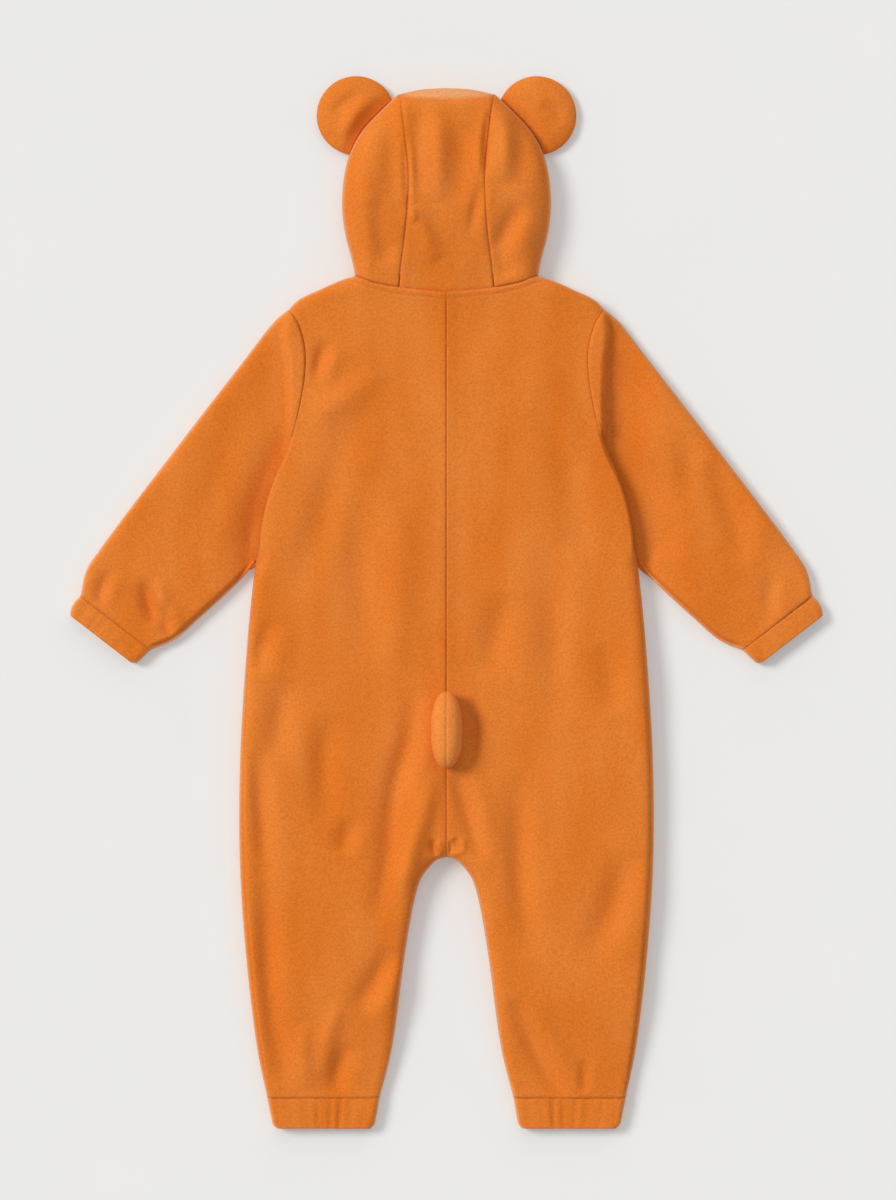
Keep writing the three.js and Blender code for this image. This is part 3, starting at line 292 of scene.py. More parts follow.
def crown(x, y, part):
    """The height of the back, without its creases."""
    if part == "sleeve":
        axis = (ARM_TIP - ARM_ROOT) / np.linalg.norm(ARM_TIP - ARM_ROOT)
        return look_up(ARM_CROWN, (x - ARM_ROOT[0]) * axis[0] + (y - ARM_ROOT[1]) * axis[1])
    towards_arm = eased(x, *LOW_X) * eased(y, *LOW_Y) * (1 - eased(y, *LOW_ENDS_Y))
    return look_up(BODY_CROWN, y) - LOW_BY_ARM * towards_arm


TWO_LAYERS = 2 * CLOTH + 0.8  # the least height of a sleeve's back above the floor
BODY_SINK = 0.25  # the share of the armhole's drop that the body's edge takes
SLEEVE_SINK = 0.55  # and the share of its drop and tuck that the sleeve takes
DROP_REACH = 14
TUCK_REACH = 16


def lie(x, y, face, part):
    """The height of the outer face of the cloth: face is 1 on the back and -1 underneath. Also how flat it
    is there, from 0 at a folded edge to 1 away from it."""
    distance, columns = nearest(folded_edges, x, y)
    edge, rim = columns[:, 2], columns[:, 3]
    on_top = face > 0
    roll = np.where(on_top, rim, rim * UNDER_ROLL)
    power = HOOD_ROUNDNESS if part == "hood" else EDGE_ROUNDNESS
    flat = np.clip(1 - (1 - np.minimum(distance / roll, 1)) ** power, 0, 1) ** (1 / power)
    height = edge + np.where(on_top, crown(x, y, part) - edge, -edge) * flat
    arm_distance, arm = nearest([armhole], x, y)
    if part == "body":
        height -= on_top * BODY_SINK * arm[:, 2] * np.maximum(0, 1 - arm_distance / DROP_REACH) ** 2 * flat
    if part == "sleeve":
        lowered = (arm[:, 2] + arm[:, 3]) * hump(arm_distance, TUCK_REACH)
        sunk = height - SLEEVE_SINK * lowered * flat
        sunk = np.maximum(sunk, edge + (TWO_LAYERS - edge) * flat)
        height = np.where(on_top, sunk, height)
    return height, flat


SEAM_SWELL = 0.35  # height of the swelling beside a seam, as a share of the ditch's depth
SWELL_AWAY = 5
SWELL_WIDTH = 3.5


def seam_dip(x, y, seams, depth, width=1.1):
    """The ditch of a seam, with the cloth swelling a little on both sides of it."""
    distance = nearest(seams, x, y)[0]
    pull = 1 + 0.5 * ripple(x, y, 7, 1, 3.7)
    swell = SEAM_SWELL * depth * hump(distance - SWELL_AWAY, SWELL_WIDTH)
    return pull * (swell - depth * hump(distance, width))


# Painted highlight: how pale the fleece is painted along folded edges and on the hood's top strip, and how
# wide.
EDGE_SHEEN_PAINT = 0.5
SHEEN_PAINT_WIDTH = 1.7
STRIP_SHEEN_PAINT = 0.42
# The hood's top turns over along a line that bows down to the middle: its lowest y, and its rise at that x.
HOOD_STRIP = 441.5
STRIP_RISE = 2.6
STRIP_X = 38


def painted_sheen(x, y, height):
    """How much painted highlight a place gets, where the fleece's sheen catches the light: along folds,
    and where the hood's top turns over.
    """
    edge = nearest(folded_edges, np.abs(x), y)[0]
    turn = HOOD_STRIP + STRIP_RISE * (x / STRIP_X) ** 2
    strip = eased(y, turn - 1.5, turn + 2.5) * (height > 9)
    strip = strip * (1 - eased(np.abs(x), STRIP_X - 2, STRIP_X + 4))
    from_armpit = eased(np.hypot(np.abs(x) - SIDE[0][0], y - ARMPIT), 8, 26)
    return np.maximum(EDGE_SHEEN_PAINT * from_armpit * hump(edge, SHEEN_PAINT_WIDTH), STRIP_SHEEN_PAINT * strip)


def panel(name, columns, rows, place, ring=False):
    """A sheet of cloth: a grid whose points place() sends to x, y and height, with its thickness inside."""
    cloth = bmesh.new()
    bmesh.ops.create_grid(cloth, x_segments=columns, y_segments=rows, size=0.5)
    across, up = (np.array([vert.co[axis] for vert in cloth.verts]) + 0.5 for axis in (0, 1))
    spots = place(across, up)
    # Each point keeps its share of the painted highlight for the fleece's material.
    pale = cloth.verts.layers.float.new("painted_sheen")
    for vert, spot, share in zip(cloth.verts, spots, painted_sheen(*spots.T)):
        vert.co = Vector(spot) * MM
        vert[pale] = share
    if ring:
        bmesh.ops.remove_doubles(cloth, verts=cloth.verts, dist=0.02 * MM)
    cloth.normal_update()
    top = max(cloth.faces, key=lambda face: face.calc_center_median().z)
    if top.normal.z < 0:
        bmesh.ops.reverse_faces(cloth, faces=cloth.faces)
    for face in cloth.faces:
        face.smooth = True
    piece = add_object(name, cloth, fleece)
    wall = piece.modifiers.new("cloth", "SOLIDIFY")
    wall.thickness = CLOTH * MM
    wall.offset = -1
    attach(piece, "garment")
    return piece


CROWDING = 0.11


def crowded(share, ends=CROWDING):
    """Shares with closer columns towards both ends."""
    return share - ends * np.sin(2 * np.pi * share)


# Brushed polyester fleece: a matt felted nap, with soft mottling where it lies different ways, a grain of
# small tufts, and a painted highlight: a paler colour along the edges and on the hood's top, where the
# sheen of the standing hairs catches the light.
TUFT = 1.9
HAIR = 0.8
NAP_PATCH = 34


def brushed_fleece(name, dark, light):
    """The fleece, with the darkest and the lightest colour of its patches."""
    material, tree, output = new_material(name)
    place = add_node(tree, "ShaderNodeTexCoord").outputs["Object"]
    long_way = add_node(tree, "ShaderNodeMapping", {"Vector": place}, Scale=(1, 0.35, 1))
    patches = add_node(tree, "ShaderNodeTexNoise", {"Vector": long_way.outputs["Vector"]},
                       Scale=1000 / NAP_PATCH, Detail=1.5)
    tufts = add_node(tree, "ShaderNodeTexNoise", {"Vector": place}, Scale=1000 / TUFT, Detail=2.0,
                     Roughness=0.7)
    hairs = add_node(tree, "ShaderNodeTexNoise", {"Vector": place}, Scale=1000 / HAIR, Detail=2.0,
                     Roughness=0.8)
    patch_tone = add_node(tree, "ShaderNodeValToRGB", {"Fac": patches.outputs["Fac"]})
    patch_tone.color_ramp.elements[0].position = 0.3
    patch_tone.color_ramp.elements[0].color = linear(dark)
    patch_tone.color_ramp.elements[1].position = 0.7
    patch_tone.color_ramp.elements[1].color = linear(light)
    tuft_tone = add_node(tree, "ShaderNodeValToRGB", {"Fac": tufts.outputs["Fac"]})
    tuft_tone.color_ramp.elements[0].position = 0.3
    tuft_tone.color_ramp.elements[0].color = linear("#e4e4e4")
    tuft_tone.color_ramp.elements[1].position = 0.65
    tuft_tone.color_ramp.elements[1].color = linear("#ffffff")
    # Painted highlight: a pale peach mixed into the patch colour by each point's share, standing in for
    # sheen.
    painted_sheen_share = add_node(tree, "ShaderNodeAttribute", attribute_name="painted_sheen")
    pale = add_node(tree, "ShaderNodeMix", {"Factor": painted_sheen_share.outputs["Fac"]}, data_type="RGBA")
    pale.inputs[7].default_value = linear("#f3c593")
    tree.links.new(patch_tone.outputs["Color"], pale.inputs[6])
    colour = add_node(tree, "ShaderNodeMix", data_type="RGBA", blend_type="MULTIPLY")
    colour.inputs[0].default_value = 1
    tree.links.new(pale.outputs[2], colour.inputs[6])
    tree.links.new(tuft_tone.outputs["Color"], colour.inputs[7])
    tuft_bump = add_node(tree, "ShaderNodeBump", {"Height": tufts.outputs["Fac"]}, Strength=0.45,
                         Distance=0.4 * MM)
    hair_bump = add_node(tree, "ShaderNodeBump",
                         {"Height": hairs.outputs["Fac"], "Normal": tuft_bump.outputs["Normal"]},
                         Strength=0.45, Distance=0.2 * MM)
    nap = add_node(tree, "ShaderNodeBsdfPrincipled",
                   {"Base Color": colour.outputs[2], "Normal": hair_bump.outputs["Normal"]},
                   Roughness=0.95, Sheen_Weight=0.4, Sheen_Roughness=0.4, Sheen_Tint=linear("#ffb070"))
    nap.inputs["Specular IOR Level"].default_value = 0.2
    tree.links.new(nap.outputs["BSDF"], output.inputs["Surface"])
    return material


fleece = brushed_fleece("brushed orange fleece", "#e17620", "#e88332")

ARMHOLE_TOP_ROW = 223
# How a body panel's rows share out its height: shares of all rows, and the station there. Stations go up
# by one at the crotch, the armpit, the top of the armhole and the neck, and rows are closer by the crotch.
ROW_SHARES = [0, 0.25, 0.31, 0.37, 0.62, 0.915, 1]
ROW_STATIONS = [0, 0.92, 1, 1.08, 2, 3, 4]
ZIP_BOTTOM = -150
ZIP_EDGE = 4.5
ZIP_LIFT = 3.4
lower_side = side[side[:, 1] <= CROTCH + 0.001][::-1]
upper_side = side[side[:, 1] >= CROTCH - 0.001][::-1]


def body_rows(up, middle, neck):
    """The inner and outer ends of a body panel's rows, from the ankle to the neck, and their stations."""
    station = np.interp(up, ROW_SHARES, ROW_STATIONS)
    heights = [CROTCH, ARMPIT, ARMHOLE_TOP_ROW, neck]
    inner_lines = [inseam]
    inner_lines += [np.array([(middle, low), (middle, high)]) for low, high in zip(heights, heights[1:])]
    outer_lines = [lower_side, upper_side, armhole[::-1], shoulder[::-1]]
    inner, outer = np.zeros((len(up), 2)), np.zeros((len(up), 2))
    part = np.minimum(station.astype(int), 3)
    for k in range(4):
        here = part == k
        inner[here] = along(inner_lines[k][:, :2], station[here] - k)
        outer[here] = along(outer_lines[k][:, :2], station[here] - k)
    inner[:, 0] = np.maximum(inner[:, 0], middle)
    return inner, outer, station


# Creases of the front: depth, width and lip, then the places that each runs through.
FRONT_CREASES = [
    (1.6, 9, 0.4, (62, 226), (70, 150), (66, 60)),
    (1.3, 11, 0, (120, 20), (112, -70), (124, -160)),
    (1.8, 8, 0.4, (30, -170), (58, -228), (84, -300)),
    (1.4, 9, -0.4, (110, -330), (118, -380), (112, -430)),
    (1.5, 8, 0.3, (76, -350), (84, -400), (92, -432)),
]
# The stitching beside the zip draws the cloth into short puckers, unevenly spaced.
PUCKERS_Y = (232, 214, 203, 183, 168, 157, 138, 117, 106, 88, 66, 54, 37, 21, 3, -14, -25, -47, -62, -80,
             -96, -107, -128, -141)
ZIP_PUCKERS = [(0.7, 3.2, 0, (7, y), (19 + 5 * math.sin(y), y + 3)) for y in PUCKERS_Y]
UNDER_SHARE = 0.86  # the share of the front's columns that lie underneath
TURN_IN = 4  # where the front has no strip on the back, its edge stays this far in from the fold
STRIP_DROP = 2.8  # the strip of the front that shows lies this much lower than the back's edge
STRIP_UNDER = 2.6  # and it goes on this far in under that edge
# Creases of the back, which the strip of the front follows. Here the places are as seen: +X for the right
# half and -X for the left half.
BACK_CREASES = [
    (2.2, 7, 0.5, (-104, 229), (-112, 212), (-117, 195)),
    (-1.6, 12, 0, (-121, 162), (-90, 178), (-56, 206)),
    (1.8, 15, 0, (-77, 172), (-104, 92), (-130, 4)),
    (2.0, 9, 0.4, (-155, -16), (-162, -40), (-168, -64)),
    (2.0, 12, 0, (-140, -66), (-146, -104), (-154, -140)),
    (2.0, 14, 0, (52, 8), (44, -30), (38, -66)),
    (1.6, 12, 0.3, (136, -38), (144, -66), (148, -98)),
    (3.0, 10, 0.3, (-27, -74), (-32, -118), (-45, -166), (-52, -232), (-62, -282)),
    (-2.4, 9, 0, (-9, -146), (-24, -200), (-42, -256)),
    (2.4, 10, 0.4, (-48, -304), (-60, -328), (-79, -360)),
    (2.2, 11, 0, (-104, -100), (-108, -150), (-106, -196)),
    (1.8, 8, 0.3, (-84, -190), (-88, -206), (-92, -222)),
    (2.4, 9, 0, (-166, -130), (-162, -191), (-158, -243)),
    (3.0, 10, 0, (-160, -230), (-154, -354), (-142, -424)),
    (1.6, 3, 0.5, (-12, -208), (-11.4, -216), (-9, -223)),
    (1.4, 2.6, 0.5, (3, -210), (4, -216), (3, -223)),
    (1.6, 3, 0.5, (8, -207), (9, -215), (8, -221)),
    (2.2, 8, 0.4, (9, -150), (20, -190), (32, -226)),
    (2.4, 11, 0, (63, -150), (64, -210), (66, -256), (76, -310)),
    (2.2, 7, 0, (22, -84), (24, -112), (21, -142)),
    (2.0, 13, 0.4, (160, -220), (146, -266), (128, -312)),
    (1.8, 8, 0.2, (-84, -388), (-94, -410), (-97, -434)),
    (-1.6, 8, 0, (-92, -350), (-104, -382), (-110, -420)),
    (2.4, 9, 0.4, (58, -350), (84, -404), (108, -438)),
    (1.3, 5, 0.2, (120, -404), (121, -420), (120, -434)),
    (-1.6, 9, 0, (-124, -370), (-126, -400), (-122, -430)),
    (1.4, 16, 0, (84, 190), (104, 120), (122, 40)),
    (-1.2, 18, 0, (70, 214), (96, 170), (112, 120)),
    (1.6, 14, 0, (-70, 120), (-76, 40), (-72, -60)),
    (-1.4, 14, 0, (-40, 90), (-42, 0), (-46, -70)),
    (1.5, 14, 0, (88, 60), (92, -20), (98, -110)),
]


SEAM_CALM = 9  # folds die away within this distance of an armhole or a cuff
AT_CUFF = 0.3  # the share of them that is left at a cuff


def back_folds(x, y, hand):
    """The creases and the unevenness of the back, which die away at the armhole's seam."""
    folds = relief(hand * x, y, BACK_CREASES)
    folds += ripple(hand * x, y, 70, 1.5, 1.3) + ripple(hand * x, y, 30, 0.3, 5.2)
    folds *= AT_CUFF + (1 - AT_CUFF) * eased(y, ANKLE_SEAM, ANKLE_SEAM + SEAM_CALM)
    return folds * (1 - hump(nearest([armhole[:, :2]], x, y)[0], SEAM_CALM))


# The lift dies away to the sides, past the neck seam, which slants, and below the zip.
LIFT_ENDS_X = (15, 36)
LIFT_PAST_NECK = 14
NECK_SLANT = 0.55
LIFT_ENDS_Y = (ZIP_BOTTOM - 34, ZIP_BOTTOM - 6)


def zip_lift(x, y):
    """The floor side is raised beside the zip, and a little way over the neck seam."""
    past_neck = y - FRONT_NECK - NECK_SLANT * (np.abs(x) - ZIP_EDGE)
    beside_zip = (1 - eased(np.abs(x), *LIFT_ENDS_X)) * (1 - eased(past_neck, 0, LIFT_PAST_NECK))
    return ZIP_LIFT * beside_zip * eased(y, *LIFT_ENDS_Y)


def front_place(across, up, hand):
    """The front goes from the zip out under the garment, round the fold and up to the side seam."""
    inner, outer, station = body_rows(up, ZIP_EDGE, FRONT_NECK)
    low_share = 1 - eased(inner[:, 1], ZIP_BOTTOM - 7, ZIP_BOTTOM + 2)
    inner[:, 0] = np.where(station > 1, inner[:, 0] * (1 - low_share) + 0.05 * low_share, inner[:, 0])
    length = np.hypot(*(outer - inner).T)
    inset = np.where(station <= 2, look_up(SIDE_SEAM, outer[:, 1]), 0)
    turn_in = TURN_IN * (1 - eased(inset, 0, 3))
    under = across <= UNDER_SHARE
    past = (across - UNDER_SHARE) / (1 - UNDER_SHARE)
    from_edge = np.where(under, turn_in + (length - turn_in) * (1 - crowded(across / UNDER_SHARE)),
                         turn_in - (turn_in + inset + STRIP_UNDER * eased(inset, 1, 3.5)) * past)
    face = np.where(from_edge >= 0, -1, 1)
    reach = np.abs(from_edge) / length
    x = outer[:, 0] + (inner[:, 0] - outer[:, 0]) * reach
    y = outer[:, 1] + (inner[:, 1] - outer[:, 1]) * reach
    height, flat = lie(x, y, face, "body")
    lift = zip_lift(x, y)
    folds = np.abs(ripple(x, y, 60, 1.2, 8.1)) - relief(x, y, FRONT_CREASES) - relief(x, y, ZIP_PUCKERS)
    strip = back_folds(x, y, hand) - STRIP_DROP
    height += flat * np.where(face < 0, lift + np.maximum(folds, -0.2 * lift), strip)
    return np.stack([x * hand, y, height], -1)


for hand, side_name in HANDS:
    piece = panel("front_panel_" + side_name, 84, 240,
                  lambda across, up: front_place(across, up, hand))
    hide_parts("front_" + side_name)

# ---------- back ----------
# Two back panels of the same fleece, joined down the middle by a plain seam that stands a little proud on
# one side. They run from the neck seam to the ankle cuffs. The cloth lies in long soft folds.
centre_seam = np.array([(0, 280.0), (0, CROTCH - 10)])
neck_seam = trace([(0, 272.4), (42, 276.5), (64, 281), (80.5, 286.9)])
neck_stitching = trace([(0, 267.2), (42, 271.2), (66, 276.2), (84, 283.0)])
# The edge of the back turns down onto the top of the sleeve: y and height.
ON_SLEEVE = [(ARMPIT, 8.7), (112, 8.7), (152, 19)]
EDGE_TURN = 1.7  # within about this distance of its edge
EDGE_TUCK = 1.8  # and the edge goes this far in under itself
PROUD = 1.5  # how far the right half stands up at the centre seam
# Ditches of seams and stitching: depth and width. The neck's allowance swells between the two: height, how
# far from the seam, and width.
CENTRE_DITCH = (0.9, 0.8)
NECK_DITCH = (0.5, 1.1)
ARMHOLE_DITCH = (0.4, 0.7)
SIDE_DITCH = (0.7, 1.1)
STITCH_DITCH = (0.7, 0.9)
NECK_BAND = (0.5, 2.4, 1.5)
sewn_armhole = armhole[:40, :2]  # the part of the armhole whose seam shows


def back_place(hand):
    """From the centre seam out to the side seam, the armhole or the shoulder."""

    def place(across, up):
        inner, outer, station = body_rows(up, 0, neck_seam[0, 1])
        length = np.hypot(*(outer - inner).T)
        inset = np.where(station <= 2, look_up(SIDE_SEAM, outer[:, 1]), 0)
        from_inner = (length - inset) * crowded(across) / length
        x = inner[:, 0] + (outer[:, 0] - inner[:, 0]) * from_inner
        y = inner[:, 1] + (outer[:, 1] - inner[:, 1]) * from_inner
        chord = neck_seam[0, 1] + (neck_seam[-1, 1] - neck_seam[0, 1]) * x / neck_seam[-1, 0]
        bow = np.interp(x, neck_seam[:, 0], neck_seam[:, 1]) - chord
        y += np.where(x < neck_seam[-1, 0], bow, 0) * eased(station, 3.2, 4)
        height, flat = lie(x, y, np.ones(len(x)), "body")
        seam_line = outer + (inner - outer) * (inset / length)[:, None]
        from_side = np.hypot(x - seam_line[:, 0], y - seam_line[:, 1])
        folds = back_folds(x, y, hand)
        dips = seam_dip(x, y, [centre_seam], *CENTRE_DITCH) + seam_dip(x, y, [neck_seam], *NECK_DITCH)
        dips += seam_dip(x, y, [sewn_armhole], *ARMHOLE_DITCH)
        dips -= np.where(station < 2.1, SIDE_DITCH[0] * hump(from_side, SIDE_DITCH[1]), 0)
        over_sleeve = 1 - eased(y, 134, 160)
        turned = over_sleeve * hump(nearest([armhole[:, :2]], x, y)[0], EDGE_TURN)
        rise, away, width = NECK_BAND
        dips += rise * hump(nearest([neck_seam], x, y)[0] - away, width)
        dips -= STITCH_DITCH[0] * hump(nearest([neck_stitching], x, y)[0], STITCH_DITCH[1])
        proud = PROUD * np.exp(-x / 3) * (hand > 0) * eased(y, -160, -140)
        height += flat * (folds + proud) + np.minimum(flat + 0.3, 1) * dips
        height += turned * (look_up(ON_SLEEVE, y) - height)
        x -= EDGE_TUCK * turned**2 * eased(y, ARMPIT + 4, ARMPIT + 16) * (1 - eased(y, 104, 124))
        return np.stack([x * hand, y, height], -1)

    return place


for hand, side_name in HANDS:
    piece = panel("back_panel_" + side_name, 72, 300, back_place(hand))
    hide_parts("back_" + side_name)

# ---------- sleeves ----------
# Each sleeve is one cut of fleece with a seam under the arm, set into the armhole. Near the armpit it goes
# in under the fold of the body.
# Creases of both sleeves: depth, width and lip, then places as seen.
SLEEVE_CREASES = [
    (2.2, 12, 0.3, (230, 122), (250, 84), (264, 36)),
    (1.2, 11, 0, (206, 150), (212, 120), (208, 84)),
    (2.8, 7, 0.5, (-266, 18), (-262, 0), (-256, -20)),
    (2.0, 6, 0.4, (-250, -2), (-247, -18), (-240, -30)),
    (0.8, 14, 0, (-180, 176), (-200, 120), (-216, 56)),
    (-0.6, 14, 0, (-160, 150), (-186, 90), (-196, 44)),
    (1.6, 6, 0.4, (-296, 28), (-304, 10), (-306, -4)),
    (1.1, 7, 0.2, (286, 26), (284, 4), (286, -14)),
    (1.0, 9, 0, (150, 218), (178, 170), (196, 130)),
    (-0.8, 3, 0, (170, 46), (180, 57), (194, 62)),
]
sleeve_upper = trace(SLEEVE_UPPER)
sleeve_lower = trace(SLEEVE_LOWER)[::-1]
UNDER_BODY = 6  # how far in under the body the sleeve's top goes
# The top of the sleeve lies level with the body as far as a fold, and drops there: y and x of that fold.
SHELF_EDGE = [(35, 168), (63, 165.2), (87, 160.3), (108.8, 153.1), (128, 143.4), (144, 140), (172, 138.6),
              (210, 139.5), (236, 142.7), (258, 139.5)]
# How deep the sleeve lies beside that fold: y and depth.
SHELF_VALLEY = [(35, 3), (55, 9), (140, 10), (180, 8), (235, 4), (256, 0)]
SHELF_RISE = 6
# How far from that fold the valley starts to rise and ends, on the right and on the left.
VALLEY_RIGHT = (15, 52)
VALLEY_LEFT = (0, 62)
LEFT_VALLEY = (0.3, 0.4)  # the share of that depth on the left, above the armpit and beside it
CUFF_DITCH = (0.3, 0.7)
# The lower edge folds over in a lap: depth, place and width of its crease, and the drop of the edge itself.
LAP = (2.6, 2.7, 1.1)
LAP_EDGE = 2.2


def sleeve_place(hand):
    """Round the sleeve from its lower edge, over the top and back underneath."""

    def place(across, up):
        turn = 1 - np.abs(2 * across - 1)
        share = crowded(turn)
        face = np.where(across <= 0.5, 1, -1)
        step = 1 - up
        low = along(sleeve_lower[:, :2], step)
        high = along(sleeve_upper[:, :2], step)
        root = along(armhole, 1 - share)
        cuff_from, cuff_to = sleeve_lower[-1, :2], sleeve_upper[-1, :2]
        cuff = cuff_from + (cuff_to - cuff_from) * share[:, None]
        low_chord = armhole[-1, :2] + (cuff_from - armhole[-1, :2]) * step[:, None]
        high_chord = armhole[0, :2] + (cuff_to - armhole[0, :2]) * step[:, None]
        spot = root[:, :2] + (cuff - root[:, :2]) * step[:, None]
        spot += (1 - share)[:, None] * (low - low_chord) + share[:, None] * (high - high_chord)
        height, flat = lie(spot[:, 0], spot[:, 1], face, "sleeve")
        x, y = spot.T
        folds = relief(hand * x, y, SLEEVE_CREASES)
        folds += ripple(hand * x, y, 60, 1.3, 2.6) + ripple(hand * x, y, 28, 0.25, 6.4)
        cuff_seam = np.array([cuff_from, cuff_to])
        folds *= 1 - hump(nearest([armhole[:, :2]], x, y)[0], SEAM_CALM)
        folds *= AT_CUFF + (1 - AT_CUFF) * eased(nearest([cuff_seam], x, y)[0], 0, SEAM_CALM)
        under = np.abs(ripple(hand * x, y, 50, 1.2, 9.3))
        past_fold = x - np.interp(y, *np.array(SHELF_EDGE).T)
        shelf = SHELF_RISE * (1 - eased(past_fold, -3, 2.5)) * eased(y, 118, 150)
        under_body = 1 - eased(y, 128, 150)
        left_share = LEFT_VALLEY[0] + (LEFT_VALLEY[1] - LEFT_VALLEY[0]) * under_body
        valley = look_up(SHELF_VALLEY, y) * (1 if hand > 0 else left_share)
        valley *= eased(past_fold, -2 - 12 * under_body, 2 - 12 * under_body)
        valley *= 1 - eased(past_fold, *(VALLEY_RIGHT if hand > 0 else VALLEY_LEFT))
        from_low = nearest([sleeve_lower[:, :2]], x, y)[0]
        depth, away, width = LAP
        lap = -depth * hump(from_low - away, width)
        lap -= LAP_EDGE * (1 - eased(from_low, 1.5, 3.2))
        lap *= eased(step, 0.06, 0.2) * (1 - eased(step, 0.9, 1)) * eased(from_low, 0, 1.2)
        dips = seam_dip(x, y, [sewn_armhole], *CUFF_DITCH) + seam_dip(x, y, [cuff_seam], *CUFF_DITCH)
        top = flat * (folds + shelf - valley) + np.minimum(flat + 0.3, 1) * dips + lap
        height += np.where(face > 0, top, flat * under)
        height = np.where(face > 0, np.maximum(height, TWO_LAYERS * eased(flat, 0, 0.6)), height)
        tuck = UNDER_BODY * root[:, 2] / 9 * (1 - eased(step, 0, 0.12)) * (face > 0) * eased(share, 0, 0.08)
        return np.stack([(x - tuck) * hand, y, height], -1)

    return place


for hand, side_name in HANDS:
    piece = panel("sleeve_tube_" + side_name, 96, 96, sleeve_place(hand))
    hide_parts("sleeve_" + side_name)

# ---------- cuffs ----------
# Each cuff is a folded band of the same fleece with elastic in it, gathered onto the sleeve or the leg.
# The gathers run the short way and are uneven.
# A gather is its share of the way across, its depth and its width.
WRIST_GATHERS = [(0.16, 0.25, 3), (0.3, 0.3, 3), (0.44, 0.3, 3), (0.6, 0.6, 1.8), (0.69, 0.9, 1.5),
                 (0.86, 0.3, 3)]
ANKLE_GATHERS = [(0.12, 0.4, 3), (0.25, 0.6, 3), (0.35, 2.4, 1.9), (0.435, 2.0, 1.7), (0.49, 0.9, 1.7),
                 (0.55, 1.7, 1.8), (0.66, 0.6, 3), (0.8, 0.4, 3), (0.93, 0.4, 2)]
GATHER_SWAY = 0.008
BAND_SWELL = 0.25
CUFF_LENGTH = 24
DITCH = (0.3, 0.9)  # depth and width of the ditch by its seam


def cuff_place(hand, low_line, high_line, part, gathers):
    """Round a cuff between its two side lines, which run from the seam to the free edge."""
    low_line, high_line = low_line[:, :2], high_line[:, :2]

    def place(across, up):
        turn = 1 - np.abs(2 * across - 1)
        share = crowded(turn, 0.13)
        face = np.where(across <= 0.5, 1, -1)
        step = 1 - up
        low, high = along(low_line, step), along(high_line, step)
        spot = low + (high - low) * share[:, None]
        x, y = spot.T
        height, flat = lie(x, y, face, part)
        width = np.linalg.norm(high_line[0] - low_line[0])
        strength = np.sin(np.pi * np.clip(0.05 + 0.87 * step, 0, 1)) ** 0.5
        folds = np.zeros(len(x))
        for k, (at, depth, wide) in enumerate(gathers):
            sway = GATHER_SWAY * math.sin(5 * k) * step
            folds -= depth * hump((share - at - sway) * width, wide)
        folds = folds * strength + ripple(hand * x, y, 16, 0.4, 4.4)
        band = BAND_SWELL * np.sin(np.pi * step.clip(0, 1))
        band -= DITCH[0] * hump(step * CUFF_LENGTH, DITCH[1])
        height += np.where(face > 0, flat * (folds + band), flat * np.abs(folds) * 0.4)
        return np.stack([x * hand, y, height], -1)

    return place


for hand, side_name in HANDS:
    wrist_place = cuff_place(hand, trace(CUFF_LOWER)[::-1], trace(CUFF_UPPER), "sleeve", WRIST_GATHERS)
    piece = panel("wrist_cuff_" + side_name, 128, 14, wrist_place, ring=True)
    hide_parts("cuff_" + side_name)
    ankle_place = cuff_place(hand, trace(ANKLE_INNER)[::-1], trace(ANKLE_OUTER), "body", ANKLE_GATHERS)
    piece = panel("ankle_band_" + side_name, 150, 18, ankle_place, ring=True)
    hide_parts("ankle_cuff_" + side_name)

# ---------- hood ----------
# Three cuts of fleece: a long centre panel over the head and one panel on each side, sewn together and to
# the neck. The cloth sags between its seams, with folds that run up from the neck.
# The seam between a side panel and the centre panel: x and y.
HOOD_SEAM = [(42, 276.5), (39.9, 297.2), (36.3, 324.1), (33.5, 370.8), (37.1, 414), (41.6, 444.9)]
FACE_CENTRE = 345
FACE_HALF_WIDTH = 54
FACE_HALF_HEIGHT = 85
FACE_TOP = 33
HOOD_TOP_BOW = 5.2  # how far the centre panel's last row rises above its ends
HOOD_TIP_SHARE = 0.9975  # the side panels stop just short of the hood's corners
# Columns of a side panel and rows of the centre panel: the shares that lie on top, and the share of the
# centre panel's other rows that go round the fold.
SIDE_TOP_SHARE = 0.5
CENTRE_TOP_SHARE = 0.72
ROUND_SHARE = 0.12
HOOD_DITCH = (0.8, 0.9)
# Creases of the hood: depth, width and lip, then places as seen.
HOOD_CREASES = [
    (1.3, 3, 0.5, (-37, 404), (-35.5, 372), (-34.8, 346)),
    (-1.3, 3, 0, (-33, 345), (-30, 340), (-27, 333)),
    (-2.2, 8, 0, (-31, 346), (-22, 328), (-8, 300)),
    (1.6, 10, 0, (-25, 440), (-25, 405), (-22, 360)),
    (-1.8, 9, 0, (-6, 438), (-7, 400), (-8, 350)),
    (1.5, 11, 0, (14, 420), (13, 385), (12, 350)),
    (1.3, 3.5, -0.4, (38, 432), (34.6, 404), (33.8, 372)),
    (1.2, 5, 0.3, (31, 368), (26, 348), (21, 322)),
    (-2.2, 9, 0, (50, 438), (52, 404), (50, 368)),
    (1.7, 12, 0, (62, 424), (66, 395), (66, 362)),
    (2.4, 9, 0.3, (66, 350), (57, 334), (40, 300)),
    (-2.2, 12, 0, (-82, 392), (-70, 351), (-51, 312)),
    (2.2, 9, 0, (-66, 352), (-58, 322), (-50, 296)),
    (1.9, 10, 0, (-50, 430), (-48, 390), (-46, 352)),
    (1.2, 10, 0, (44, 306), (50, 298), (56, 286)),
    (0.6, 2.2, 0.4, (-38, 443.5), (0, 441), (38, 443.5)),
]
hood_seam = trace(HOOD_SEAM)
hood_side_edge = trace(HOOD_SIDE)[::-1]
first_turn = math.asin(ZIP_EDGE / FACE_HALF_WIDTH)
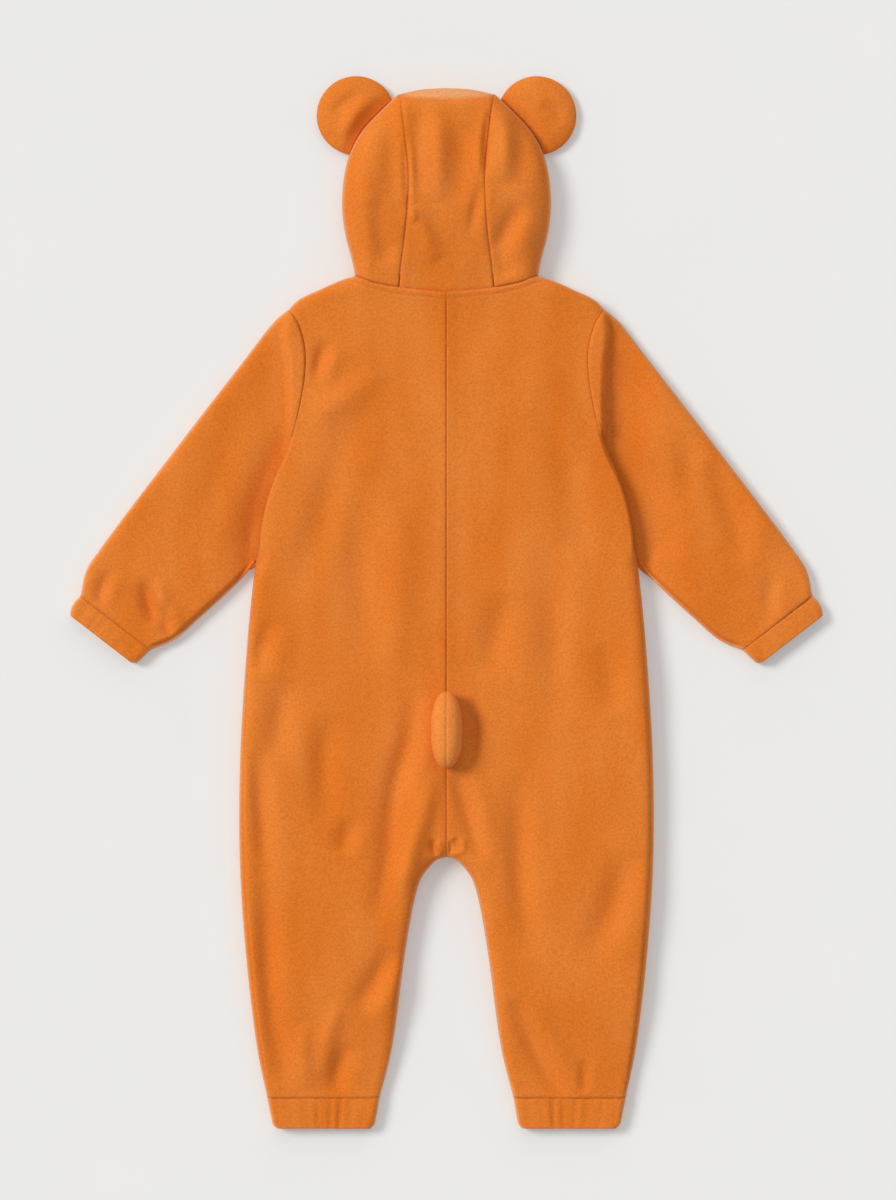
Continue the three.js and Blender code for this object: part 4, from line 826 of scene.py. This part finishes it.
last_turn = math.pi - math.asin(FACE_TOP / FACE_HALF_WIDTH)


def face_oval(turns, hem=0):
    """Points of the face opening, or of a line this far outside it, by their turn from the lowest point."""
    x = (FACE_HALF_WIDTH + hem) * np.sin(turns)
    return np.stack([x, FACE_CENTRE - (FACE_HALF_HEIGHT + hem) * np.cos(turns)], -1)


face_edge = face_oval(np.linspace(first_turn, last_turn, 41))
LOWEST_FACE_ROW = 0.08
CHIN_BOW = 5.5  # rows that end on the bottom of the face opening bow this far down to meet it


def hood_lie(x, y, face, hand):
    """The hood's height, with its creases and the ditches of its seams."""
    height, flat = lie(x, y, face, "hood")
    folds = relief(hand * x, y, HOOD_CREASES)
    folds += ripple(hand * x, y, 46, 1.6, 3.3) + ripple(hand * x, y, 26, 0.25, 7.7)
    dips = seam_dip(x, y, [hood_seam], *HOOD_DITCH) + seam_dip(x, y, [neck_seam], *NECK_DITCH)
    under = np.abs(ripple(hand * x, y, 40, 1.4, 6.1)) + zip_lift(x, y)
    return height + np.where(face > 0, flat * folds + np.minimum(flat + 0.3, 1) * dips, flat * under)


def hood_side_place(hand):
    """From the seam with the centre panel out over the fold, and underneath to the face opening."""

    def place(across, up):
        seam = along(hood_seam, up)
        outline = along(hood_side_edge[:, :2], np.minimum(up, HOOD_TIP_SHARE))
        face_share = np.clip((up - LOWEST_FACE_ROW) / (1 - LOWEST_FACE_ROW), 0, 1)
        opening = along(face_edge, face_share)
        neck_end = np.array((ZIP_EDGE, FRONT_NECK))
        below = 1 - np.clip(up / LOWEST_FACE_ROW, 0, 1)
        opening = opening + (neck_end - opening) * below[:, None]
        on_top = across <= SIDE_TOP_SHARE
        top_share = np.clip(across / SIDE_TOP_SHARE, 0, 1)
        top_share = np.sin(top_share * np.pi / 2) * 0.4 + top_share * 0.6
        under_share = np.clip((across - SIDE_TOP_SHARE) / (1 - SIDE_TOP_SHARE), 0, 1) ** 1.7
        top = seam + (outline - seam) * top_share[:, None]
        from_seam = (top[:, 0] - hood_seam[0, 0]) / (hood_side_edge[0, 0] - hood_seam[0, 0])
        chord = hood_seam[0, 1] + (hood_side_edge[0, 1] - hood_seam[0, 1]) * from_seam
        bow = np.interp(top[:, 0], neck_seam[:, 0], neck_seam[:, 1]) - chord
        top[:, 1] += bow * (1 - eased(up, 0, 0.15))
        under = outline + (opening - outline) * under_share[:, None]
        low_row = eased(up, 0, LOWEST_FACE_ROW) * (1 - eased(up, 0.15, 0.4))
        under[:, 1] -= CHIN_BOW * low_row * np.sin(np.pi * under_share**2)
        spot = np.where(on_top[:, None], top, under)
        x, y = spot.T
        height = hood_lie(x, y, np.where(on_top, 1, -1), hand)
        return np.stack([x * hand, y, height], -1)

    return place


for hand, side_name in HANDS:
    piece = panel("hood_panel_" + side_name, 72, 84, hood_side_place(hand))
    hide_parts("hood_side_" + side_name)


def hood_centre_place(across, up):
    """From the neck seam over the head, round the fold and underneath to the face opening."""
    share = 2 * across - 1
    hand = np.where(share < 0, -1, 1)
    share = np.abs(share)
    on_top = up <= CENTRE_TOP_SHARE
    step = np.clip(up / CENTRE_TOP_SHARE, 0, 1)
    seam = along(hood_seam, step)
    bow = (neck_seam[0, 1] - hood_seam[0, 1]) * (1 - step) + HOOD_TOP_BOW * step
    top_x = share * seam[:, 0]
    top_y = seam[:, 1] + bow * (1 - share**2)
    neck_y = np.interp(top_x, neck_seam[:, 0], neck_seam[:, 1])
    top_y += (neck_y - top_y) * (1 - eased(step, 0, 0.12))
    tip = hood_top[-1, 0]
    past = np.clip((up - CENTRE_TOP_SHARE) / (1 - CENTRE_TOP_SHARE), 0, 1)
    over = np.clip(past / ROUND_SHARE, 0, 1)
    back_under = np.clip((past - ROUND_SHARE) / (1 - ROUND_SHARE), 0, 1) ** 1.6
    rim_y = np.interp(share * tip, hood_top[:, 0], hood_top[:, 1])
    face_y = FACE_CENTRE + FACE_HALF_HEIGHT * np.sqrt(1 - (share * FACE_TOP / FACE_HALF_WIDTH) ** 2)
    seam_end = hood_seam[-1]
    last_y = seam_end[1] + HOOD_TOP_BOW * (1 - share**2)
    round_y = last_y + (rim_y - last_y) * np.sin(over * np.pi / 2)
    under_x = share * (tip + (FACE_TOP - tip) * back_under)
    under_y = rim_y + (face_y - rim_y) * back_under
    round_x = share * (seam_end[0] + (tip - seam_end[0]) * over)
    x = np.where(on_top, top_x, np.where(over < 1, round_x, under_x))
    y = np.where(on_top, top_y, np.where(over < 1, round_y, under_y))
    face = np.where(on_top | (over < 1), 1, -1)
    height = np.where(hand > 0, hood_lie(x, y, face, 1), hood_lie(x, y, face, -1))
    return np.stack([x * hand, y, height], -1)


piece = panel("hood_middle_panel", 46, 128, hood_centre_place)
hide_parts("hood_centre")

# ---------- ears ----------
# Two round ears, each of two rounds of fleece seamed round the edge and lightly stuffed. They are caught in
# the hood's side seams, so they are pinched flat where they meet it.
EAR_CENTRE = np.array((79.6, 428.6))
EAR_RADIUS = 34.8
EAR_SEAM_HEIGHT = 4.6
EAR_BACK = 9
EAR_FRONT = 4.1
EAR_RIM = 0.9
EAR_PINCH = 0.5  # the share of its thickness that is left where it meets the hood
PINCH_REACH = 12
EAR_GAP = 0.4  # keeps it clear of the hood, within GAP_REACH of where they meet
GAP_REACH = 3
# Creases of both ears: depth, width and lip, then places as seen.
EAR_CREASES = [
    (-1.6, 6, 0, (-62, 450), (-78, 433), (-93, 409)),
    (1.0, 5, 0, (-76, 446), (-90, 440), (-100, 428)),
    (1.1, 6, 0.3, (84, 440), (96, 432), (102, 420)),
]
hood_outline = trace(HOOD_SIDE)[:, :2]


def ear_place(hand):
    """From the hood out to the ear's rim on the back round, and home again on the front round."""
    off = np.hypot(*(hood_outline - EAR_CENTRE).T) - EAR_RADIUS
    cross = [k for k in range(len(off) - 1) if off[k] * off[k + 1] < 0]
    base_line = hood_outline[cross[0] : cross[1] + 2]
    start, end = (math.atan2(*(base_line[k] - EAR_CENTRE)[::-1]) for k in (0, -1))

    def place(across, up):
        turn = 1 - np.abs(2 * up - 1)
        face = np.where(up <= 0.5, 1, -1)
        base = along(base_line, across)
        angle = start + (end - start) * across
        rim = EAR_CENTRE + EAR_RADIUS * np.stack([np.cos(angle), np.sin(angle)], -1)
        reach = np.sin(turn * np.pi / 2)
        spot = base + (rim - base) * reach[:, None]
        x, y = spot.T
        from_base = np.hypot(*(spot - base).T)
        from_centre = np.hypot(x - EAR_CENTRE[0], y - EAR_CENTRE[1])
        shape = np.sqrt(np.clip(1 - (from_centre / EAR_RADIUS) ** 2, 0, 1))
        pinch = EAR_PINCH + (1 - EAR_PINCH) * eased(from_base, 0, PINCH_REACH)
        depth = np.where(face > 0, EAR_BACK, EAR_FRONT)
        folds = relief(hand * x, y, EAR_CREASES) + ripple(hand * x, y, 20, 0.7, 2.2)
        thick = (EAR_RIM + (depth - EAR_RIM) * shape) * pinch
        height = EAR_SEAM_HEIGHT + face * thick + np.where(face > 0, folds * shape * pinch, 0)
        height = np.where(reach >= 0.9999, EAR_SEAM_HEIGHT, height)
        clear = EAR_GAP * (1 - eased(from_base, 0, GAP_REACH))
        return np.stack([(x + clear) * hand, y + clear, height], -1)

    return place


for hand, side_name in HANDS:
    piece = panel("ear_" + side_name, 72, 64, ear_place(hand))
    piece.modifiers.clear()
    piece.data.attributes.remove(piece.data.attributes["painted_sheen"])
    shell = bmesh.new()
    shell.from_mesh(piece.data)
    bmesh.ops.remove_doubles(shell, verts=shell.verts, dist=0.01 * MM)
    bmesh.ops.holes_fill(shell, edges=[edge for edge in shell.edges if edge.is_boundary])
    bmesh.ops.recalc_face_normals(shell, faces=shell.faces)
    shell.to_mesh(piece.data)
    shell.free()
    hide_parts(f"ear_{side_name}_back", f"ear_{side_name}_front")

# ---------- tail ----------
# A short stuffed tail of two cuts of fleece, sewn together down its middle. It stands on the back's seam.
TAIL_Y = -111.8
TAIL_HALF = np.array((13.6, 33.4, 15))
TAIL_SQUARENESS = 2.4  # 2 would be round
TAIL_RISE = 12
TAIL_NARROWS = 0.03  # how much narrower, and how much lower, its upper end is than its middle
TAIL_LOWERS = 0.04
TAIL_SWAYS = 0.02
TAIL_SINK = 0.6  # how far it sinks into the cloth of the back
TAIL_LUMPS = 0.035
LUMP_SIZE = 13
GROOVE = 0.9  # depth of the ditch at its seam
GROOVE_WIDTH = 0.8
tail_base = look_up(BODY_CROWN, np.array([TAIL_Y]))[0] + 0.3

shell = bmesh.new()
bmesh.ops.create_uvsphere(shell, u_segments=112, v_segments=72, radius=1)
bmesh.ops.rotate(shell, verts=shell.verts, matrix=Matrix.Rotation(math.pi / 2, 3, "X"))
for vert in shell.verts:
    x, y, z = vert.co
    reach = sum(abs(part) ** TAIL_SQUARENESS for part in (x, y, z)) ** (-1 / TAIL_SQUARENESS)
    x, y, z = np.array((x, y, z)) * reach
    waist = 1 - TAIL_NARROWS * y + TAIL_SWAYS * math.sin(3 * y + 1)
    x, y, z = x * TAIL_HALF[0] * waist, y * TAIL_HALF[1], z * TAIL_HALF[2] * (1 - TAIL_LOWERS * y)
    lumps = 1 + TAIL_LUMPS * noise.noise(Vector((x, y, z)) / LUMP_SIZE)
    groove = 0
    if z > -4:
        groove = GROOVE * hump(x, GROOVE_WIDTH)
        groove *= 1 + 0.4 * noise.noise(Vector((0, y / 5, 4.1)))
    height = z * lumps - groove + tail_base + TAIL_RISE
    vert.co = Vector((x * lumps, y + TAIL_Y, max(height, tail_base - TAIL_SINK))) * MM
for face in shell.faces:
    face.smooth = True
bmesh.ops.recalc_face_normals(shell, faces=shell.faces)
# The same fleece, drawn round the filling and painted a little paler: a painted highlight for the light
# that the raised tail catches.
lit_tail_fleece = brushed_fleece("brushed orange fleece, painted highlight", "#ea8739", "#ee8f40")
tail = add_object("tail", shell, lit_tail_fleece)
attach(tail, "garment")
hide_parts("tail_left", "tail_right")

# ---------- zip ----------
# A nylon coil zip closes the front, on woven tapes dyed to match. Its slider and pull tab are die-cast
# zinc, plated with nickel.
TEETH_PITCH = 2.1
TOOTH = (3.0, 1.25, 1.3)
ZIP_TOP = 240
COIL_HEIGHT = 5.05
TOOTH_OFF = 1.1  # a tooth's middle lies this far from the zip's
TEETH_ENDS = (3, 1)  # how far the teeth stay from the lower and the upper end of the zip
TOOTH_BEVEL = 0.3
STOP = (5.4, 6, 1.6)  # the stop at the bottom of the zip
STOP_BELOW = 2.5
STOP_HEIGHT = 3.2
TAPE_RIB = 1.776
PLATE_WEAR = 3

# Woven polyester: matt, with ribs across it that catch the light, painted lighter on their tops and darker
# in the hollows between them. At a scale of 1, the bands of a wave texture lie pi / 10 of a metre apart.
tape_fabric, tree, output = new_material("woven polyester zip tape")
place = add_node(tree, "ShaderNodeTexCoord").outputs["Object"]
ribs = add_node(tree, "ShaderNodeTexWave", {"Vector": place}, bands_direction="Y",
                Scale=1000 / TAPE_RIB * math.pi / 10)
ribs.inputs["Distortion"].default_value = 0.6
# Painted highlight and shade: the ribs' tops lighter, the hollows between them darker.
tone = add_node(tree, "ShaderNodeValToRGB", {"Fac": ribs.outputs["Fac"]})
tone.color_ramp.elements[0].color = linear("#b35a1c")
tone.color_ramp.elements[1].color = linear("#d2722a")
rib_bump = add_node(tree, "ShaderNodeBump", {"Height": ribs.outputs["Fac"]}, Strength=0.5,
                    Distance=0.2 * MM)
weave = add_node(tree, "ShaderNodeBsdfPrincipled",
                 {"Base Color": tone.outputs["Color"], "Normal": rib_bump.outputs["Normal"]},
                 Roughness=0.75)
tree.links.new(weave.outputs["BSDF"], output.inputs["Surface"])

# Nickel plate over zinc: a bright warm grey, a little worn and softly scratched.
nickel, tree, output = new_material("nickel-plated zinc")
place = add_node(tree, "ShaderNodeTexCoord").outputs["Object"]
wear = add_node(tree, "ShaderNodeTexNoise", {"Vector": place}, Scale=1000 / PLATE_WEAR, Detail=4.0)
gloss = add_node(tree, "ShaderNodeMapRange", {"Value": wear.outputs["Fac"]})
gloss.inputs["To Min"].default_value = 0.22
gloss.inputs["To Max"].default_value = 0.42
plate_tone = add_node(tree, "ShaderNodeValToRGB", {"Fac": wear.outputs["Fac"]})
plate_tone.color_ramp.elements[0].color = linear("#a9a7a1")
plate_tone.color_ramp.elements[1].color = linear("#c4c2bb")
plate = add_node(tree, "ShaderNodeBsdfPrincipled",
                 {"Base Color": plate_tone.outputs["Color"], "Roughness": gloss.outputs["Result"]},
                 Metallic=1.0)
tree.links.new(plate.outputs["BSDF"], output.inputs["Surface"])

for node_name, finish in (("zip_tape_right", tape_fabric), ("zip_tape_left", tape_fabric),
                          ("zip_slider", nickel), ("zip_pull", nickel)):
    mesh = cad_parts[node_name].data
    mesh.materials.clear()
    mesh.materials.append(finish)

teeth = bmesh.new()
for k in range(int((ZIP_TOP - ZIP_BOTTOM - sum(TEETH_ENDS)) / TEETH_PITCH)):
    for hand in (1, -1):
        made = bmesh.ops.create_cube(teeth, size=1)["verts"]
        bmesh.ops.scale(teeth, verts=made, vec=np.array(TOOTH) * MM)
        y = ZIP_BOTTOM + TEETH_ENDS[0] + TEETH_PITCH * (k + (0.5 if hand > 0 else 0))
        bmesh.ops.translate(teeth, verts=made, vec=Vector((hand * TOOTH_OFF, y, COIL_HEIGHT)) * MM)
stop = bmesh.ops.create_cube(teeth, size=1)["verts"]
bmesh.ops.scale(teeth, verts=stop, vec=Vector(STOP) * MM)
bmesh.ops.translate(teeth, verts=stop, vec=Vector((0, ZIP_BOTTOM - STOP_BELOW, STOP_HEIGHT)) * MM)
bmesh.ops.bevel(teeth, geom=teeth.edges, offset=TOOTH_BEVEL * MM, segments=1, affect="EDGES",
                profile=0.5, material=-1)
zip_teeth = add_object("zip_teeth", teeth, tape_fabric)
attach(zip_teeth, "garment")
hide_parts("zip_coil")

# ---------- stitching ----------
# Rows of straight stitches in orange polyester thread: round the neck under its seam, beside the zip, and
# round the face opening. Each stitch lies on the cloth and dips in at its ends.
STITCH = 2.5
STITCH_PITCH = 3.3
THREAD_RADIUS = 0.24
FIBRE = 0.5
THREAD_SINK = 0.06  # how far a stitch sinks into the pile
STITCH_FROM_ZIP = 3.5
FACE_HEM = 7

# Spun polyester thread, dyed to match: a slight gloss, with a fine mottle from its fibres.
thread_fibre, tree, output = new_material("orange polyester thread")
place = add_node(tree, "ShaderNodeTexCoord").outputs["Object"]
fibres = add_node(tree, "ShaderNodeTexNoise", {"Vector": place}, Scale=1000 / FIBRE, Detail=2.0)
tone = add_node(tree, "ShaderNodeValToRGB", {"Fac": fibres.outputs["Fac"]})
tone.color_ramp.elements[0].color = linear("#c8661c")
tone.color_ramp.elements[1].color = linear("#dc7a2c")
spun = add_node(tree, "ShaderNodeBsdfPrincipled", {"Base Color": tone.outputs["Color"]}, Roughness=0.6)
tree.links.new(spun.outputs["BSDF"], output.inputs["Surface"])


def stitch(name, cloth, lines, looking):
    """Rows of stitches on pieces of cloth, found by looking up (1) or down (-1) at them."""
    ground = bmesh.new()
    for part in cloth:
        ground.from_mesh(bpy.data.objects[part].data)
    surface = BVHTree.FromBMesh(ground)
    thread = bmesh.new()
    for line in lines:
        length = np.hypot(*np.diff(line, axis=0).T).sum()
        for start in np.arange(1, length - STITCH, STITCH_PITCH):
            ends = []
            for x, y in along(line, np.array([start, start + STITCH]) / length):
                hit = surface.ray_cast(Vector((x, y, -100 * looking)) * MM, Vector((0, 0, looking)))[0]
                ends += [hit] if hit else []
            if len(ends) < 2:
                continue
            run = ends[1] - ends[0]
            middle = (ends[0] + ends[1]) / 2 - Vector((0, 0, THREAD_SINK * looking * MM))
            spin = run.to_track_quat("Z", "Y").to_matrix().to_4x4()
            radius = THREAD_RADIUS * MM
            bmesh.ops.create_cone(thread, cap_ends=True, segments=6, radius1=radius, radius2=radius,
                                  depth=run.length, matrix=Matrix.Translation(middle) @ spin)
    ground.free()
    row = add_object(name, thread, thread_fibre)
    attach(row, "garment")


neck_row = neck_stitching[:, :2]
stitch("neck_stitches", ["back_panel_right", "back_panel_left"], [neck_row[1:], neck_row[1:] * (-1, 1)], -1)
zip_row = np.array([(ZIP_EDGE + STITCH_FROM_ZIP, y) for y in (ZIP_BOTTOM + 2, FRONT_NECK)])
stitch("zip_stitches", ["front_panel_right", "front_panel_left"], [zip_row, zip_row * (-1, 1)], 1)
face_row = face_oval(np.linspace(0.2, math.pi, 90), FACE_HEM)
stitch("face_stitches", ["hood_panel_right", "hood_panel_left", "hood_middle_panel"],
       [face_row, face_row * (-1, 1)], 1)
